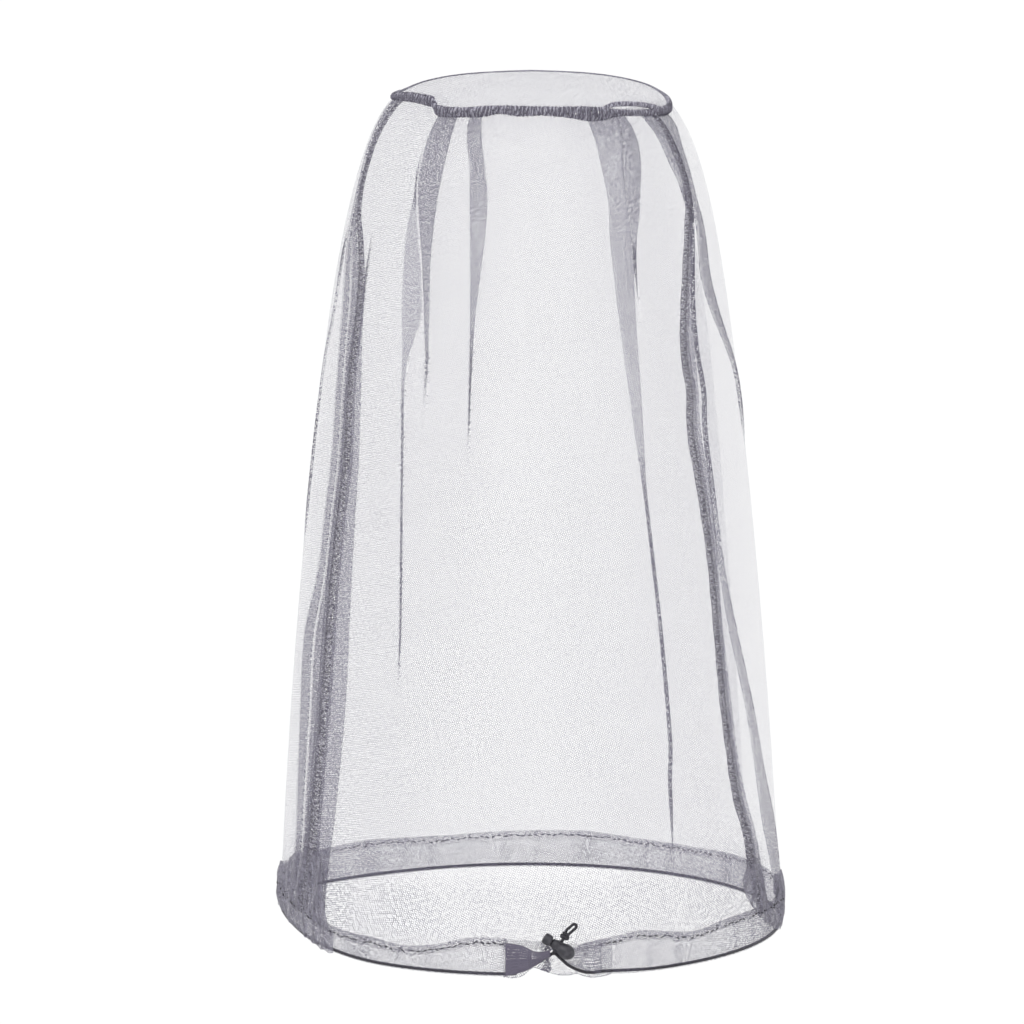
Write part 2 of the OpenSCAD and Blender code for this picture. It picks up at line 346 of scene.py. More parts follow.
def netCloth(name, shade, paleShade, openCover, denseCover, cell=1.5, streaks=0.25, grain=0.7):
    # knitted net: rows of round holes in a yarn, closed up where the gather attribute says so
    material = blankMaterial(name)
    nodes, links = material.node_tree.nodes, material.node_tree.links

    holesFrame = nodes.new("NodeFrame")
    holesFrame.label = "rows of holes"
    coverFrame = nodes.new("NodeFrame")
    coverFrame.label = "how much the yarn covers"
    yarnFrame = nodes.new("NodeFrame")
    yarnFrame.label = "yarn"

    clothMap = nodes.new("ShaderNodeUVMap")
    clothMap.label = "laid flat, in metres"
    stitches = nodes.new("ShaderNodeVectorMath")
    stitches.label = "metres to holes"
    wobble = nodes.new("ShaderNodeTexNoise")
    wobble.label = "uneven knitting"
    wobbleSize = nodes.new("ShaderNodeVectorMath")
    wobbleSize.label = "how uneven"
    knitted = nodes.new("ShaderNodeVectorMath")
    knitted.label = "shifted holes"
    evenRows = nodes.new("ShaderNodeVectorMath")
    evenRows.label = "even rows"
    oddRows = nodes.new("ShaderNodeVectorMath")
    oddRows.label = "rows between them"
    evenCells = nodes.new("ShaderNodeVectorMath")
    evenCells.label = "place in an even hole"
    oddCells = nodes.new("ShaderNodeVectorMath")
    oddCells.label = "place in an odd hole"
    evenOut = nodes.new("ShaderNodeVectorMath")
    evenOut.label = "from its middle"
    oddOut = nodes.new("ShaderNodeVectorMath")
    oddOut.label = "from its middle"
    evenScale = nodes.new("ShaderNodeVectorMath")
    evenScale.label = "back to hole widths"
    oddScale = nodes.new("ShaderNodeVectorMath")
    oddScale.label = "back to hole widths"
    evenReach = nodes.new("ShaderNodeVectorMath")
    evenReach.label = "distance, even"
    oddReach = nodes.new("ShaderNodeVectorMath")
    oddReach.label = "distance, odd"
    reach = nodes.new("ShaderNodeMath")
    reach.label = "nearest hole"
    for i, node in enumerate([clothMap, stitches, wobble, wobbleSize, knitted, evenRows, oddRows, evenCells,
                              oddCells, evenOut, oddOut, evenScale, oddScale, evenReach, oddReach, reach]):
        node.parent = holesFrame
        node.location = (-2400 + 190 * (i // 2), 300 - 220 * (i % 2))
    stitches.operation = "SCALE"
    stitches.inputs["Scale"].default_value = 1000 / cell
    wobble.inputs["Scale"].default_value = 0.35
    wobble.inputs["Detail"].default_value = 2
    wobbleSize.operation = "SCALE"
    wobbleSize.inputs["Scale"].default_value = 0.9
    knitted.operation = "ADD"
    evenRows.operation = "DIVIDE"
    evenRows.inputs[1].default_value = (1.0, 1.732, 1.0)
    oddRows.operation = "ADD"
    oddRows.inputs[1].default_value = (0.5, 0.5, 0.0)
    evenCells.operation = "FRACTION"
    oddCells.operation = "FRACTION"
    evenOut.operation = "SUBTRACT"
    evenOut.inputs[1].default_value = (0.5, 0.5, 0.0)
    oddOut.operation = "SUBTRACT"
    oddOut.inputs[1].default_value = (0.5, 0.5, 0.0)
    evenScale.operation = "MULTIPLY"
    evenScale.inputs[1].default_value = (1.0, 1.732, 0.0)
    oddScale.operation = "MULTIPLY"
    oddScale.inputs[1].default_value = (1.0, 1.732, 0.0)
    evenReach.operation = "LENGTH"
    oddReach.operation = "LENGTH"
    reach.operation = "MINIMUM"

    gather = nodes.new("ShaderNodeAttribute")
    gather.label = "how gathered"
    streak = nodes.new("ShaderNodeTexNoise")
    streak.label = "long uneven streaks"
    streakMap = nodes.new("ShaderNodeMapping")
    streakMap.label = "drawn out down the net"
    streakSize = nodes.new("ShaderNodeMapRange")
    streakSize.label = "streak strength"
    speckle = nodes.new("ShaderNodeTexNoise")
    speckle.label = "thick and thin loops"
    speckleSize = nodes.new("ShaderNodeMapRange")
    speckleSize.label = "how thick or thin"
    speckled = nodes.new("ShaderNodeMath")
    speckled.label = "cover with thick and thin loops"
    cover = nodes.new("ShaderNodeMapRange")
    cover.label = "gather to cover"
    streaked = nodes.new("ShaderNodeMath")
    streaked.label = "cover with streaks"
    gaps = nodes.new("ShaderNodeMath")
    gaps.label = "open share"
    gapArea = nodes.new("ShaderNodeMath")
    gapArea.label = "open area of one hole"
    holeSize = nodes.new("ShaderNodeMath")
    holeSize.label = "hole radius"
    innerEdge = nodes.new("ShaderNodeMath")
    innerEdge.label = "yarn begins"
    outerEdge = nodes.new("ShaderNodeMath")
    outerEdge.label = "yarn is full"
    yarnMask = nodes.new("ShaderNodeMapRange")
    yarnMask.label = "yarn or hole"
    for i, node in enumerate([gather, streakMap, streak, streakSize, speckle, speckleSize, cover, streaked,
                              speckled, gaps, gapArea, holeSize, innerEdge, outerEdge, yarnMask]):
        node.parent = coverFrame
        node.location = (-2400 + 200 * (i // 2), -400 - 240 * (i % 2))
    gather.attribute_type = "GEOMETRY"
    gather.attribute_name = "gather"
    streakMap.inputs["Scale"].default_value = (60.0, 9.0, 1.0)
    streak.inputs["Scale"].default_value = 1.0
    streak.inputs["Detail"].default_value = 3
    streakSize.inputs["To Min"].default_value = 1 - streaks
    streakSize.inputs["To Max"].default_value = 1 + streaks
    speckle.inputs["Scale"].default_value = 0.7
    speckle.inputs["Detail"].default_value = 2
    speckleSize.inputs["From Min"].default_value = 0.38
    speckleSize.inputs["From Max"].default_value = 0.62
    speckleSize.inputs["To Min"].default_value = 1 - grain
    speckleSize.inputs["To Max"].default_value = 1 + grain
    speckled.operation = "MULTIPLY"
    speckled.use_clamp = True
    cover.inputs["To Min"].default_value = openCover
    cover.inputs["To Max"].default_value = denseCover
    streaked.operation = "MULTIPLY"
    streaked.use_clamp = True
    gaps.operation = "SUBTRACT"
    gaps.use_clamp = True
    gaps.inputs[0].default_value = 1.0
    gapArea.operation = "MULTIPLY"
    gapArea.inputs[1].default_value = 0.2757
    holeSize.operation = "SQRT"
    innerEdge.operation = "SUBTRACT"
    innerEdge.inputs[1].default_value = 0.03
    outerEdge.operation = "ADD"
    outerEdge.inputs[1].default_value = 0.03

    output = nodes.new("ShaderNodeOutputMaterial")
    throughHoles = nodes.new("ShaderNodeMixShader")
    throughHoles.label = "holes let light through"
    hole = nodes.new("ShaderNodeBsdfTransparent")
    hole.label = "hole"
    yarn = nodes.new("ShaderNodeBsdfPrincipled")
    yarn.label = "polyester yarn"
    shades = nodes.new("ShaderNodeMix")
    shades.label = "yarn shades"
    lustre = nodes.new("ShaderNodeTexNoise")
    lustre.label = "uneven lustre"
    loops = nodes.new("ShaderNodeBump")
    loops.label = "raised loops"
    dull = nodes.new("ShaderNodeMapRange")
    dull.label = "duller and shinier yarn"
    openness = nodes.new("ShaderNodeMapRange")
    openness.label = "more light gets round open yarn"
    paler = nodes.new("ShaderNodeMath")
    paler.label = "how pale"
    for i, node in enumerate([lustre, openness, dull, paler, shades, loops, yarn, hole, throughHoles,
                              output]):
        node.parent = yarnFrame
        node.location = (-700 + 220 * (i // 2), 200 - 320 * (i % 2))
    openness.inputs["To Min"].default_value = 1.6
    openness.inputs["To Max"].default_value = 0.5
    paler.operation = "MULTIPLY"
    paler.use_clamp = True
    shades.data_type = "RGBA"
    shades.inputs["A"].default_value = (*shade, 1)
    shades.inputs["B"].default_value = (*paleShade, 1)
    lustre.inputs["Scale"].default_value = 0.6
    lustre.inputs["Detail"].default_value = 4
    dull.inputs["To Min"].default_value = 0.5
    dull.inputs["To Max"].default_value = 0.8
    loops.inputs["Strength"].default_value = 0.4
    loops.inputs["Distance"].default_value = 0.0002
    yarn.inputs["Specular IOR Level"].default_value = 0.35
    yarn.inputs["Sheen Weight"].default_value = 0.15

    links.new(clothMap.outputs["UV"], stitches.inputs[0])
    links.new(stitches.outputs["Vector"], wobble.inputs["Vector"])
    links.new(wobble.outputs["Color"], wobbleSize.inputs[0])
    links.new(stitches.outputs["Vector"], knitted.inputs[0])
    links.new(wobbleSize.outputs["Vector"], knitted.inputs[1])
    links.new(knitted.outputs["Vector"], evenRows.inputs[0])
    links.new(evenRows.outputs["Vector"], oddRows.inputs[0])
    links.new(evenRows.outputs["Vector"], evenCells.inputs[0])
    links.new(oddRows.outputs["Vector"], oddCells.inputs[0])
    links.new(evenCells.outputs["Vector"], evenOut.inputs[0])
    links.new(oddCells.outputs["Vector"], oddOut.inputs[0])
    links.new(evenOut.outputs["Vector"], evenScale.inputs[0])
    links.new(oddOut.outputs["Vector"], oddScale.inputs[0])
    links.new(evenScale.outputs["Vector"], evenReach.inputs[0])
    links.new(oddScale.outputs["Vector"], oddReach.inputs[0])
    links.new(evenReach.outputs["Value"], reach.inputs[0])
    links.new(oddReach.outputs["Value"], reach.inputs[1])
    links.new(clothMap.outputs["UV"], streakMap.inputs["Vector"])
    links.new(streakMap.outputs["Vector"], streak.inputs["Vector"])
    links.new(streak.outputs["Fac"], streakSize.inputs["Value"])
    links.new(gather.outputs["Fac"], cover.inputs["Value"])
    links.new(cover.outputs["Result"], streaked.inputs[0])
    links.new(streakSize.outputs["Result"], streaked.inputs[1])
    links.new(stitches.outputs["Vector"], speckle.inputs["Vector"])
    links.new(speckle.outputs["Fac"], speckleSize.inputs["Value"])
    links.new(streaked.outputs["Value"], speckled.inputs[0])
    links.new(speckleSize.outputs["Result"], speckled.inputs[1])
    links.new(speckled.outputs["Value"], gaps.inputs[1])
    links.new(gaps.outputs["Value"], gapArea.inputs[0])
    links.new(gapArea.outputs["Value"], holeSize.inputs[0])
    links.new(holeSize.outputs["Value"], innerEdge.inputs[0])
    links.new(holeSize.outputs["Value"], outerEdge.inputs[0])
    links.new(reach.outputs["Value"], yarnMask.inputs["Value"])
    links.new(innerEdge.outputs["Value"], yarnMask.inputs["From Min"])
    links.new(outerEdge.outputs["Value"], yarnMask.inputs["From Max"])
    links.new(stitches.outputs["Vector"], lustre.inputs["Vector"])
    links.new(lustre.outputs["Fac"], dull.inputs["Value"])
    links.new(gather.outputs["Fac"], openness.inputs["Value"])
    links.new(lustre.outputs["Fac"], paler.inputs[0])
    links.new(openness.outputs["Result"], paler.inputs[1])
    links.new(paler.outputs["Value"], shades.inputs["Factor"])
    links.new(reach.outputs["Value"], loops.inputs["Height"])
    links.new(shades.outputs["Result"], yarn.inputs["Base Color"])
    links.new(dull.outputs["Result"], yarn.inputs["Roughness"])
    links.new(loops.outputs["Normal"], yarn.inputs["Normal"])
    links.new(yarnMask.outputs["Result"], throughHoles.inputs["Fac"])
    links.new(hole.outputs["BSDF"], throughHoles.inputs[1])
    links.new(yarn.outputs["BSDF"], throughHoles.inputs[2])
    links.new(throughHoles.outputs["Shader"], output.inputs["Surface"])
    return material


def sewnEdge(name, shade, paleShade, pitch, slant, cover, wander=2.4):
    # cloth under close overlock stitches: slanted ticks, pale between them, with small gaps
    material = blankMaterial(name)
    nodes, links = material.node_tree.nodes, material.node_tree.links

    stitchFrame = nodes.new("NodeFrame")
    stitchFrame.label = "slanted stitches"
    gapFrame = nodes.new("NodeFrame")
    gapFrame.label = "gaps in the net under them"
    clothFrame = nodes.new("NodeFrame")
    clothFrame.label = "sewn cloth"

    clothMap = nodes.new("ShaderNodeUVMap")
    clothMap.label = "along and across the seam, in metres"
    leaning = nodes.new("ShaderNodeMapping")
    leaning.label = "lean of the stitches"
    ticks = nodes.new("ShaderNodeTexWave")
    ticks.label = "stitches"
    tickShade = nodes.new("ShaderNodeValToRGB")
    tickShade.label = "thread and the cloth between"
    for i, node in enumerate([clothMap, leaning, ticks, tickShade]):
        node.parent = stitchFrame
        node.location = (-1400 + 230 * i, 300)
    leaning.inputs["Rotation"].default_value = (0, 0, math.radians(slant))
    ticks.inputs["Scale"].default_value = 0.314 * 1000 / pitch
    ticks.inputs["Distortion"].default_value = wander
    ticks.inputs["Detail"].default_value = 3
    ticks.inputs["Detail Scale"].default_value = 2.2
    tickShade.color_ramp.elements[0].position = 0.25
    tickShade.color_ramp.elements[0].color = (*shade, 1)
    tickShade.color_ramp.elements[1].position = 0.8
    tickShade.color_ramp.elements[1].color = (*paleShade, 1)

    fine = nodes.new("ShaderNodeTexNoise")
    fine.label = "net showing between stitches"
    gapMask = nodes.new("ShaderNodeMapRange")
    gapMask.label = "thread or gap"
    for i, node in enumerate([fine, gapMask]):
        node.parent = gapFrame
        node.location = (-900 + 230 * i, -100)
    fine.inputs["Scale"].default_value = 1100
    fine.inputs["Detail"].default_value = 1
    gapMask.inputs["From Min"].default_value = 0.62 - 0.45 * cover
    gapMask.inputs["From Max"].default_value = 0.70 - 0.45 * cover

    output = nodes.new("ShaderNodeOutputMaterial")
    throughGaps = nodes.new("ShaderNodeMixShader")
    throughGaps.label = "gaps let light through"
    gap = nodes.new("ShaderNodeBsdfTransparent")
    gap.label = "gap"
    cloth = nodes.new("ShaderNodeBsdfPrincipled")
    cloth.label = "thread over net"
    ridges = nodes.new("ShaderNodeBump")
    ridges.label = "stitch ridges"
    worn = nodes.new("ShaderNodeMapRange")
    worn.label = "rougher between stitches"
    for i, node in enumerate([worn, ridges, cloth, gap, throughGaps, output]):
        node.parent = clothFrame
        node.location = (-300 + 220 * (i // 2), 200 - 320 * (i % 2))
    worn.inputs["To Min"].default_value = 0.85
    worn.inputs["To Max"].default_value = 0.6
    ridges.inputs["Strength"].default_value = 0.8
    ridges.inputs["Distance"].default_value = 0.0005
    cloth.inputs["Specular IOR Level"].default_value = 0.3

    links.new(clothMap.outputs["UV"], leaning.inputs["Vector"])
    links.new(leaning.outputs["Vector"], ticks.inputs["Vector"])
    links.new(ticks.outputs["Fac"], tickShade.inputs["Fac"])
    links.new(clothMap.outputs["UV"], fine.inputs["Vector"])
    links.new(fine.outputs["Fac"], gapMask.inputs["Value"])
    links.new(ticks.outputs["Fac"], worn.inputs["Value"])
    links.new(ticks.outputs["Fac"], ridges.inputs["Height"])
    links.new(tickShade.outputs["Color"], cloth.inputs["Base Color"])
    links.new(worn.outputs["Result"], cloth.inputs["Roughness"])
    links.new(ridges.outputs["Normal"], cloth.inputs["Normal"])
    links.new(gapMask.outputs["Result"], throughGaps.inputs["Fac"])
    links.new(gap.outputs["BSDF"], throughGaps.inputs[1])
    links.new(cloth.outputs["BSDF"], throughGaps.inputs[2])
    links.new(throughGaps.outputs["Shader"], output.inputs["Surface"])
    return material


def twistedYarn(name, shade, paleShade, turns, pitch, roughness):
    # thread or braided cord: strands that wind round it, from its own map, with painted shade: darker in the
    # grooves between strands and paler on their crowns
    material = blankMaterial(name)
    nodes, links = material.node_tree.nodes, material.node_tree.links

    strandFrame = nodes.new("NodeFrame")
    strandFrame.label = "strands"
    yarnFrame = nodes.new("NodeFrame")
    yarnFrame.label = "yarn"

    cordMap = nodes.new("ShaderNodeUVMap")
    cordMap.label = "round and along"
    unrolled = nodes.new("ShaderNodeMapping")
    unrolled.label = "strands to the turn"
    rightLay = nodes.new("ShaderNodeTexWave")
    rightLay.label = "strands one way"
    leftTurned = nodes.new("ShaderNodeMapping")
    leftTurned.label = "the other way"
    leftLay = nodes.new("ShaderNodeTexWave")
    leftLay.label = "strands the other way"
    plait = nodes.new("ShaderNodeMath")
    plait.label = "upper strand shows"
    for i, node in enumerate([cordMap, unrolled, leftTurned, rightLay, leftLay, plait]):
        node.parent = strandFrame
        node.location = (-1400 + 230 * (i // 2), 300 - 300 * (i % 2))
    unrolled.inputs["Scale"].default_value = (turns, 1000 / pitch, 1)
    leftTurned.inputs["Scale"].default_value = (-turns, 1000 / pitch, 1)
    rightLay.bands_direction = "DIAGONAL"
    rightLay.inputs["Scale"].default_value = 0.314
    leftLay.bands_direction = "DIAGONAL"
    leftLay.inputs["Scale"].default_value = 0.314
    plait.operation = "MAXIMUM"

    output = nodes.new("ShaderNodeOutputMaterial")
    yarn = nodes.new("ShaderNodeBsdfPrincipled")
    yarn.label = "spun yarn"
    shades = nodes.new("ShaderNodeMix")
    shades.label = "shades between strands"
    relief = nodes.new("ShaderNodeBump")
    relief.label = "rounded strands"
    dull = nodes.new("ShaderNodeMapRange")
    dull.label = "strand tops are smoother"
    for i, node in enumerate([shades, dull, relief, yarn, output]):
        node.parent = yarnFrame
        node.location = (-500 + 230 * (i // 2), 300 - 300 * (i % 2))
    shades.data_type = "RGBA"
    shades.inputs["A"].default_value = (*shade, 1)
    shades.inputs["B"].default_value = (*paleShade, 1)
    relief.inputs["Strength"].default_value = 0.7
    relief.inputs["Distance"].default_value = 0.0002
    dull.inputs["To Min"].default_value = roughness + 0.12
    dull.inputs["To Max"].default_value = roughness - 0.08
    yarn.inputs["Specular IOR Level"].default_value = 0.3
    yarn.inputs["Sheen Weight"].default_value = 0.1

    links.new(cordMap.outputs["UV"], unrolled.inputs["Vector"])
    links.new(cordMap.outputs["UV"], leftTurned.inputs["Vector"])
    links.new(unrolled.outputs["Vector"], rightLay.inputs["Vector"])
    links.new(leftTurned.outputs["Vector"], leftLay.inputs["Vector"])
    links.new(rightLay.outputs["Fac"], plait.inputs[0])
    links.new(leftLay.outputs["Fac"], plait.inputs[1])
    # painted shade and light: the colour follows the strand relief, dark in the grooves between strands and
    # pale on their crowns
    links.new(plait.outputs["Value"], shades.inputs["Factor"])
    links.new(plait.outputs["Value"], dull.inputs["Value"])
    links.new(plait.outputs["Value"], relief.inputs["Height"])
    links.new(shades.outputs["Result"], yarn.inputs["Base Color"])
    links.new(dull.outputs["Result"], yarn.inputs["Roughness"])
    links.new(relief.outputs["Normal"], yarn.inputs["Normal"])
    links.new(yarn.outputs["BSDF"], output.inputs["Surface"])
    return material


def hardPart(name, shade, paleShade, grain, roughness, metallic):
    # moulded plastic or spring wire: a fine grain, scuffed paler where it is rubbed
    material = blankMaterial(name)
    nodes, links = material.node_tree.nodes, material.node_tree.links

    grainFrame = nodes.new("NodeFrame")
    grainFrame.label = "grain and scuffs"
    skinFrame = nodes.new("NodeFrame")
    skinFrame.label = "surface"

    position = nodes.new("ShaderNodeTexCoord")
    position.label = "place on the part"
    fine = nodes.new("ShaderNodeTexNoise")
    fine.label = "moulded grain"
    scuffs = nodes.new("ShaderNodeTexNoise")
    scuffs.label = "scuffs"
    scuffMask = nodes.new("ShaderNodeMapRange")
    scuffMask.label = "where it is rubbed"
    for i, node in enumerate([position, fine, scuffs, scuffMask]):
        node.parent = grainFrame
        node.location = (-1000 + 230 * (i // 2), 300 - 300 * (i % 2))
    fine.inputs["Scale"].default_value = grain
    fine.inputs["Detail"].default_value = 3
    scuffs.inputs["Scale"].default_value = 320
    scuffs.inputs["Detail"].default_value = 5
    scuffMask.inputs["From Min"].default_value = 0.45
    scuffMask.inputs["From Max"].default_value = 0.75

    output = nodes.new("ShaderNodeOutputMaterial")
    skin = nodes.new("ShaderNodeBsdfPrincipled")
    skin.label = "finished surface"
    shades = nodes.new("ShaderNodeMix")
    shades.label = "shade and scuffs"
    relief = nodes.new("ShaderNodeBump")
    relief.label = "fine relief"
    polish = nodes.new("ShaderNodeMapRange")
    polish.label = "polish"
    for i, node in enumerate([shades, polish, relief, skin, output]):
        node.parent = skinFrame
        node.location = (-400 + 230 * (i // 2), 300 - 300 * (i % 2))
    shades.data_type = "RGBA"
    shades.inputs["A"].default_value = (*shade, 1)
    shades.inputs["B"].default_value = (*paleShade, 1)
    relief.inputs["Strength"].default_value = 0.25
    relief.inputs["Distance"].default_value = 0.0001
    polish.inputs["To Min"].default_value = roughness - 0.1
    polish.inputs["To Max"].default_value = roughness + 0.15
    skin.inputs["Metallic"].default_value = metallic
    skin.inputs["Specular IOR Level"].default_value = 0.5

    links.new(position.outputs["Object"], fine.inputs["Vector"])
    links.new(position.outputs["Object"], scuffs.inputs["Vector"])
    links.new(scuffs.outputs["Fac"], scuffMask.inputs["Value"])
    links.new(scuffMask.outputs["Result"], shades.inputs["Factor"])
    links.new(fine.outputs["Fac"], polish.inputs["Value"])
    links.new(fine.outputs["Fac"], relief.inputs["Height"])
    links.new(shades.outputs["Result"], skin.inputs["Base Color"])
    links.new(polish.outputs["Result"], skin.inputs["Roughness"])
    links.new(relief.outputs["Normal"], skin.inputs["Normal"])
    links.new(skin.outputs["BSDF"], output.inputs["Surface"])
    return material


crownSeamSettings = {
    # angle, depth of the seam's middle, half its height
    "line": [(-180, 8.0, 0.4), (-150, 8.9, 0.4), (-130, 10.8, 0.45), (-112, 13.6, 0.7),
             (-98, 14.2, 1.2), (-90, 14.2, 1.8), (-76, 12.2, 2.2), (-60, 10.4, 2.8),
             (-46, 11.0, 3.2), (-44.6, 11.6, 3.4), (-42.4, 15.6, 3.4), (-29, 15.6, 2.9),
             (-20, 14.6, 3.1), (-13, 13.4, 2.5), (-5, 14.0, 3.1), (4, 13.9, 2.7), (15, 14.8, 3.3),
             (25.5, 16.3, 4.3), (32, 16.6, 3.4), (37, 16.6, 2.2), (47, 17.6, 1.9), (60, 18.9, 2.1),
             (70, 19.6, 2.9), (83, 19.6, 2.9), (95, 17.0, 1.8), (110, 14.2, 0.8), (124, 11.6, 0.5),
             (150, 8.9, 0.4), (180, 8.0, 0.4)],
    # the strand that parts from it at the front right
    "strand": [(29, 14.8, 0.8), (33, 12.6, 1.3), (38, 11.9, 1.5), (46, 12.5, 1.4), (55, 14.3, 1.5),
               (64, 16.9, 1.6), (74, 19.4, 1.2)],
    "ruffle": 2.1,
    "thickness": 2.2,
    "overlap": 0.8,
    # the band's section: how far out, how far down its half height
    "section": [(-0.42, -0.95), (0.3, -1.0), (0.62, -0.6), (0.7, 0.0), (0.6, 0.6), (0.25, 1.0),
                (-0.4, 0.95), (-0.5, 0.0)],
    "netEdge": 0.4,
    "mapAcross": 0.9,
    "bandStep": 0.4,
}


def crownSeamLine(angle):
    return valueAlong(crownSeamSettings["line"], frontAngle(angle))


def netEdgeDrop(angle):
    middle, half = crownSeamLine(angle)
    return middle + half - crownSeamSettings["overlap"] - netTop


def domeEdge(angle):
    middle, half = crownSeamLine(angle)
    return middle - half + crownSeamSettings["overlap"]


def ruchedBand(name, angles, line, closed):
    # a soft roll of gathered cloth, ribbed across by its own stitches
    chance = random.Random(11)
    ribs = 360 * crownRadius * math.pi / 180 / crownSeamSettings["ruffle"]
    thick = crownSeamSettings["thickness"]
    shape = crownSeamSettings["section"]
    inner = crownRadius + crownSeamSettings["netEdge"]
    grid = []
    for angle in angles:
        middle, half = line(angle)
        rib = math.sin(math.radians(angle) * ribs + 0.9 * math.sin(angle * 0.9))
        puff = 1 + 0.16 * rib + chance.uniform(-0.1, 0.1)
        reach = 1 + 0.05 * rib + chance.uniform(-0.09, 0.09)
        body = min(1.0, 0.08 + half / 2.4)
        grid.append([place(angle, inner + out * thick * puff * body, middle + side * half * reach)
                     for out, side in shape])
    rows = [list(row) for row in zip(*grid)]
    rows.append(rows[0])
    rows.reverse()

    def flat(i, j, first):
        step = angles[1] - angles[0]
        across = crownSeamSettings["mapAcross"] * mm * i * 8 / len(shape)
        return (math.radians(angles[0] + j * step) * crownRadius * mm, across)

    piece = clothMesh(name, rows, flat, closed=closed)
    mesh = bmesh.new()
    mesh.from_mesh(piece.data)
    bmesh.ops.remove_doubles(mesh, verts=mesh.verts, dist=1e-6)
    mesh.to_mesh(piece.data)
    mesh.free()
    turnOutwards(piece.data, closeEnds=True)
    addStack(piece, rounder())
    piece.data.materials.append(crownSeamCloth)
    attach(piece, "root")
    return piece


crownSettings = {
    "columns": 96,
    "rings": [0.02, 0.12, 0.26, 0.4, 0.54, 0.67, 0.78, 0.86, 0.92, 0.96, 0.985, 1.0],
    "roundness": 1.3,
    "flat": (0.158, 0.158),
    "pucker": 0.35,
    "fan": (66, 17),
    "netTurn": 20,
    "thickness": 0.25,
}


def mapFromAbove(piece, turn):
    # lay the crown's net flat as it is seen from above
    turn = math.radians(turn)
    layer = piece.data.uv_layers["cloth"]
    for loop in piece.data.loops:
        x, y = piece.data.vertices[loop.vertex_index].co[:2]
        layer.data[loop.index].uv = turnedMap(x, y, turn)


def makeCrown():
    print("crown")
    columns = crownSettings["columns"]
    middle, width = crownSettings["fan"]
    grid, gather = [], []
    for ring in crownSettings["rings"]:
        row, tight = [], []
        for j in range(columns):
            angle = frontAngle(360 * j / columns)
            edge = domeEdge(angle)
            depth = edge * ring ** crownSettings["roundness"]
            depth += crownSettings["pucker"] * ring**8 * math.sin(math.radians(angle) * 34)
            row.append(place(angle, (crownRadius + 0.25) * ring, depth))
            fan = bump(angle, middle, width) * smooth((ring - 0.72) / 0.26)
            tight.append(0.12 + 0.14 * smooth((ring - 0.86) / 0.14) + 0.4 * fan)
        grid.append(row)
        gather.append(tight)
    crown = clothMesh("crownPanel", grid, lambda i, j, first: (0.0, 0.0), gather, closed=True)
    mesh = bmesh.new()
    mesh.from_mesh(crown.data)
    inner = [edge for edge in mesh.edges if edge.is_boundary and edge.verts[0].co.length < 0.01]
    bmesh.ops.holes_fill(mesh, edges=inner, sides=0)
    bmesh.ops.recalc_face_normals(mesh, faces=mesh.faces)
    if max(mesh.faces, key=lambda face: face.calc_center_median().z).normal.z < 0:
        bmesh.ops.reverse_faces(mesh, faces=mesh.faces)
    mesh.to_mesh(crown.data)
    mesh.free()
    for face in crown.data.polygons:
        face.use_smooth = True
    mapFromAbove(crown, crownSettings["netTurn"])
    addStack(crown, rounder(), wall(crownSettings["thickness"]))
    crown.data.materials.append(panelNet)
    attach(crown, "root")
    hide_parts("crown_net")

    # ten steps of the band to each column of the crown
    angles = [360 * j / columns * 0.1 for j in range(columns * 10)]
    seam = ruchedBand("crownSeam", angles, crownSeamLine, True)
    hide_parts("crown_gathered_seam")
    strandLine = crownSeamSettings["strand"]
    first, last, step = strandLine[0][0], strandLine[-1][0], crownSeamSettings["bandStep"]
    angles = [first + step * j for j in range(int((last - first) / step))]
    strand = ruchedBand("crownSeamStrand", angles, lambda angle: valueAlong(strandLine, angle), False)


# where the side seams run: depth, angle
rightSeamLine = [(15, 61.5), (30, 60.5), (52, 61), (62, 59.8), (81, 55.8), (118, 50.3), (145, 47.9),
                 (168, 48.5), (189, 47.4), (220, 49), (258, 50.8), (295, 51.4), (339, 52.2),
                 (370, 53.8), (396, 55.6), (410, 58), (424, 60), (440, 61), (455, 63.5), (470, 66)]
leftSeamLine = [(15, -68), (24, -69.5), (41, -71), (58, -70.2), (74, -67.6), (90, -62.8),
                (106, -59.6), (122, -58.2), (164, -58.4), (208, -57), (234, -58.2), (271, -59.4),
                (305, -59.8), (341, -60), (409, -61.4), (430, -61.6), (450, -63), (470, -66)]

panelSettings = {
    "rows": 46,
    "rowGrowth": 1.6,
    "plainStep": 3.2,
    "netTurn": 16,
    "thickness": 0.25,
    "crease": 0.55,
    "flatWidth": {"frontPanel": 0.34, "backPanel": 0.74},
    "flatLength": 0.48,
    "cutShare": 0.8,
    # a fold's columns: share across its three layers, how far out, how tight
    "fold": [(0.0, 0.0, 0.0), (0.06, 0.3, 1.2), (0.12, 0.6, 1.7), (0.45, 1.0, 1.7),
             (0.8, 1.0, 1.7), (0.96, 0.95, 1.8), (1.0, 0.6, 2.6), (1.04, 0.1, 0.4), (1.3, 0.0, 0.3),
             (1.7, 0.0, 0.3), (1.96, -0.1, 0.4), (2.0, -0.6, 2.2), (2.04, -0.95, 0.4),
             (2.2, -1.0, 0.3), (2.55, -1.0, 0.3), (2.88, -0.6, 0.4), (3.0, 0.0, 0.0)],
    # how the net lies in each of the three layers: mirrored or not, shift, drop, lean
    "layers": [(1, 0.0, 0.0, 0.0), (-1, 0.0004, 0.012, 0.03), (1, 0.0009, 0.005, -0.02)],
    "mapRadius": 0.108,
    "leastGap": 0.12,
    # how tight the net lies under the crown, low at the front, by the corners and elsewhere (less on the right
    # side: painted light)
    "underCrown": 0.1,
    "lowFront": 0.3,
    "corners": 0.15,
    "plain": 0.07,
}

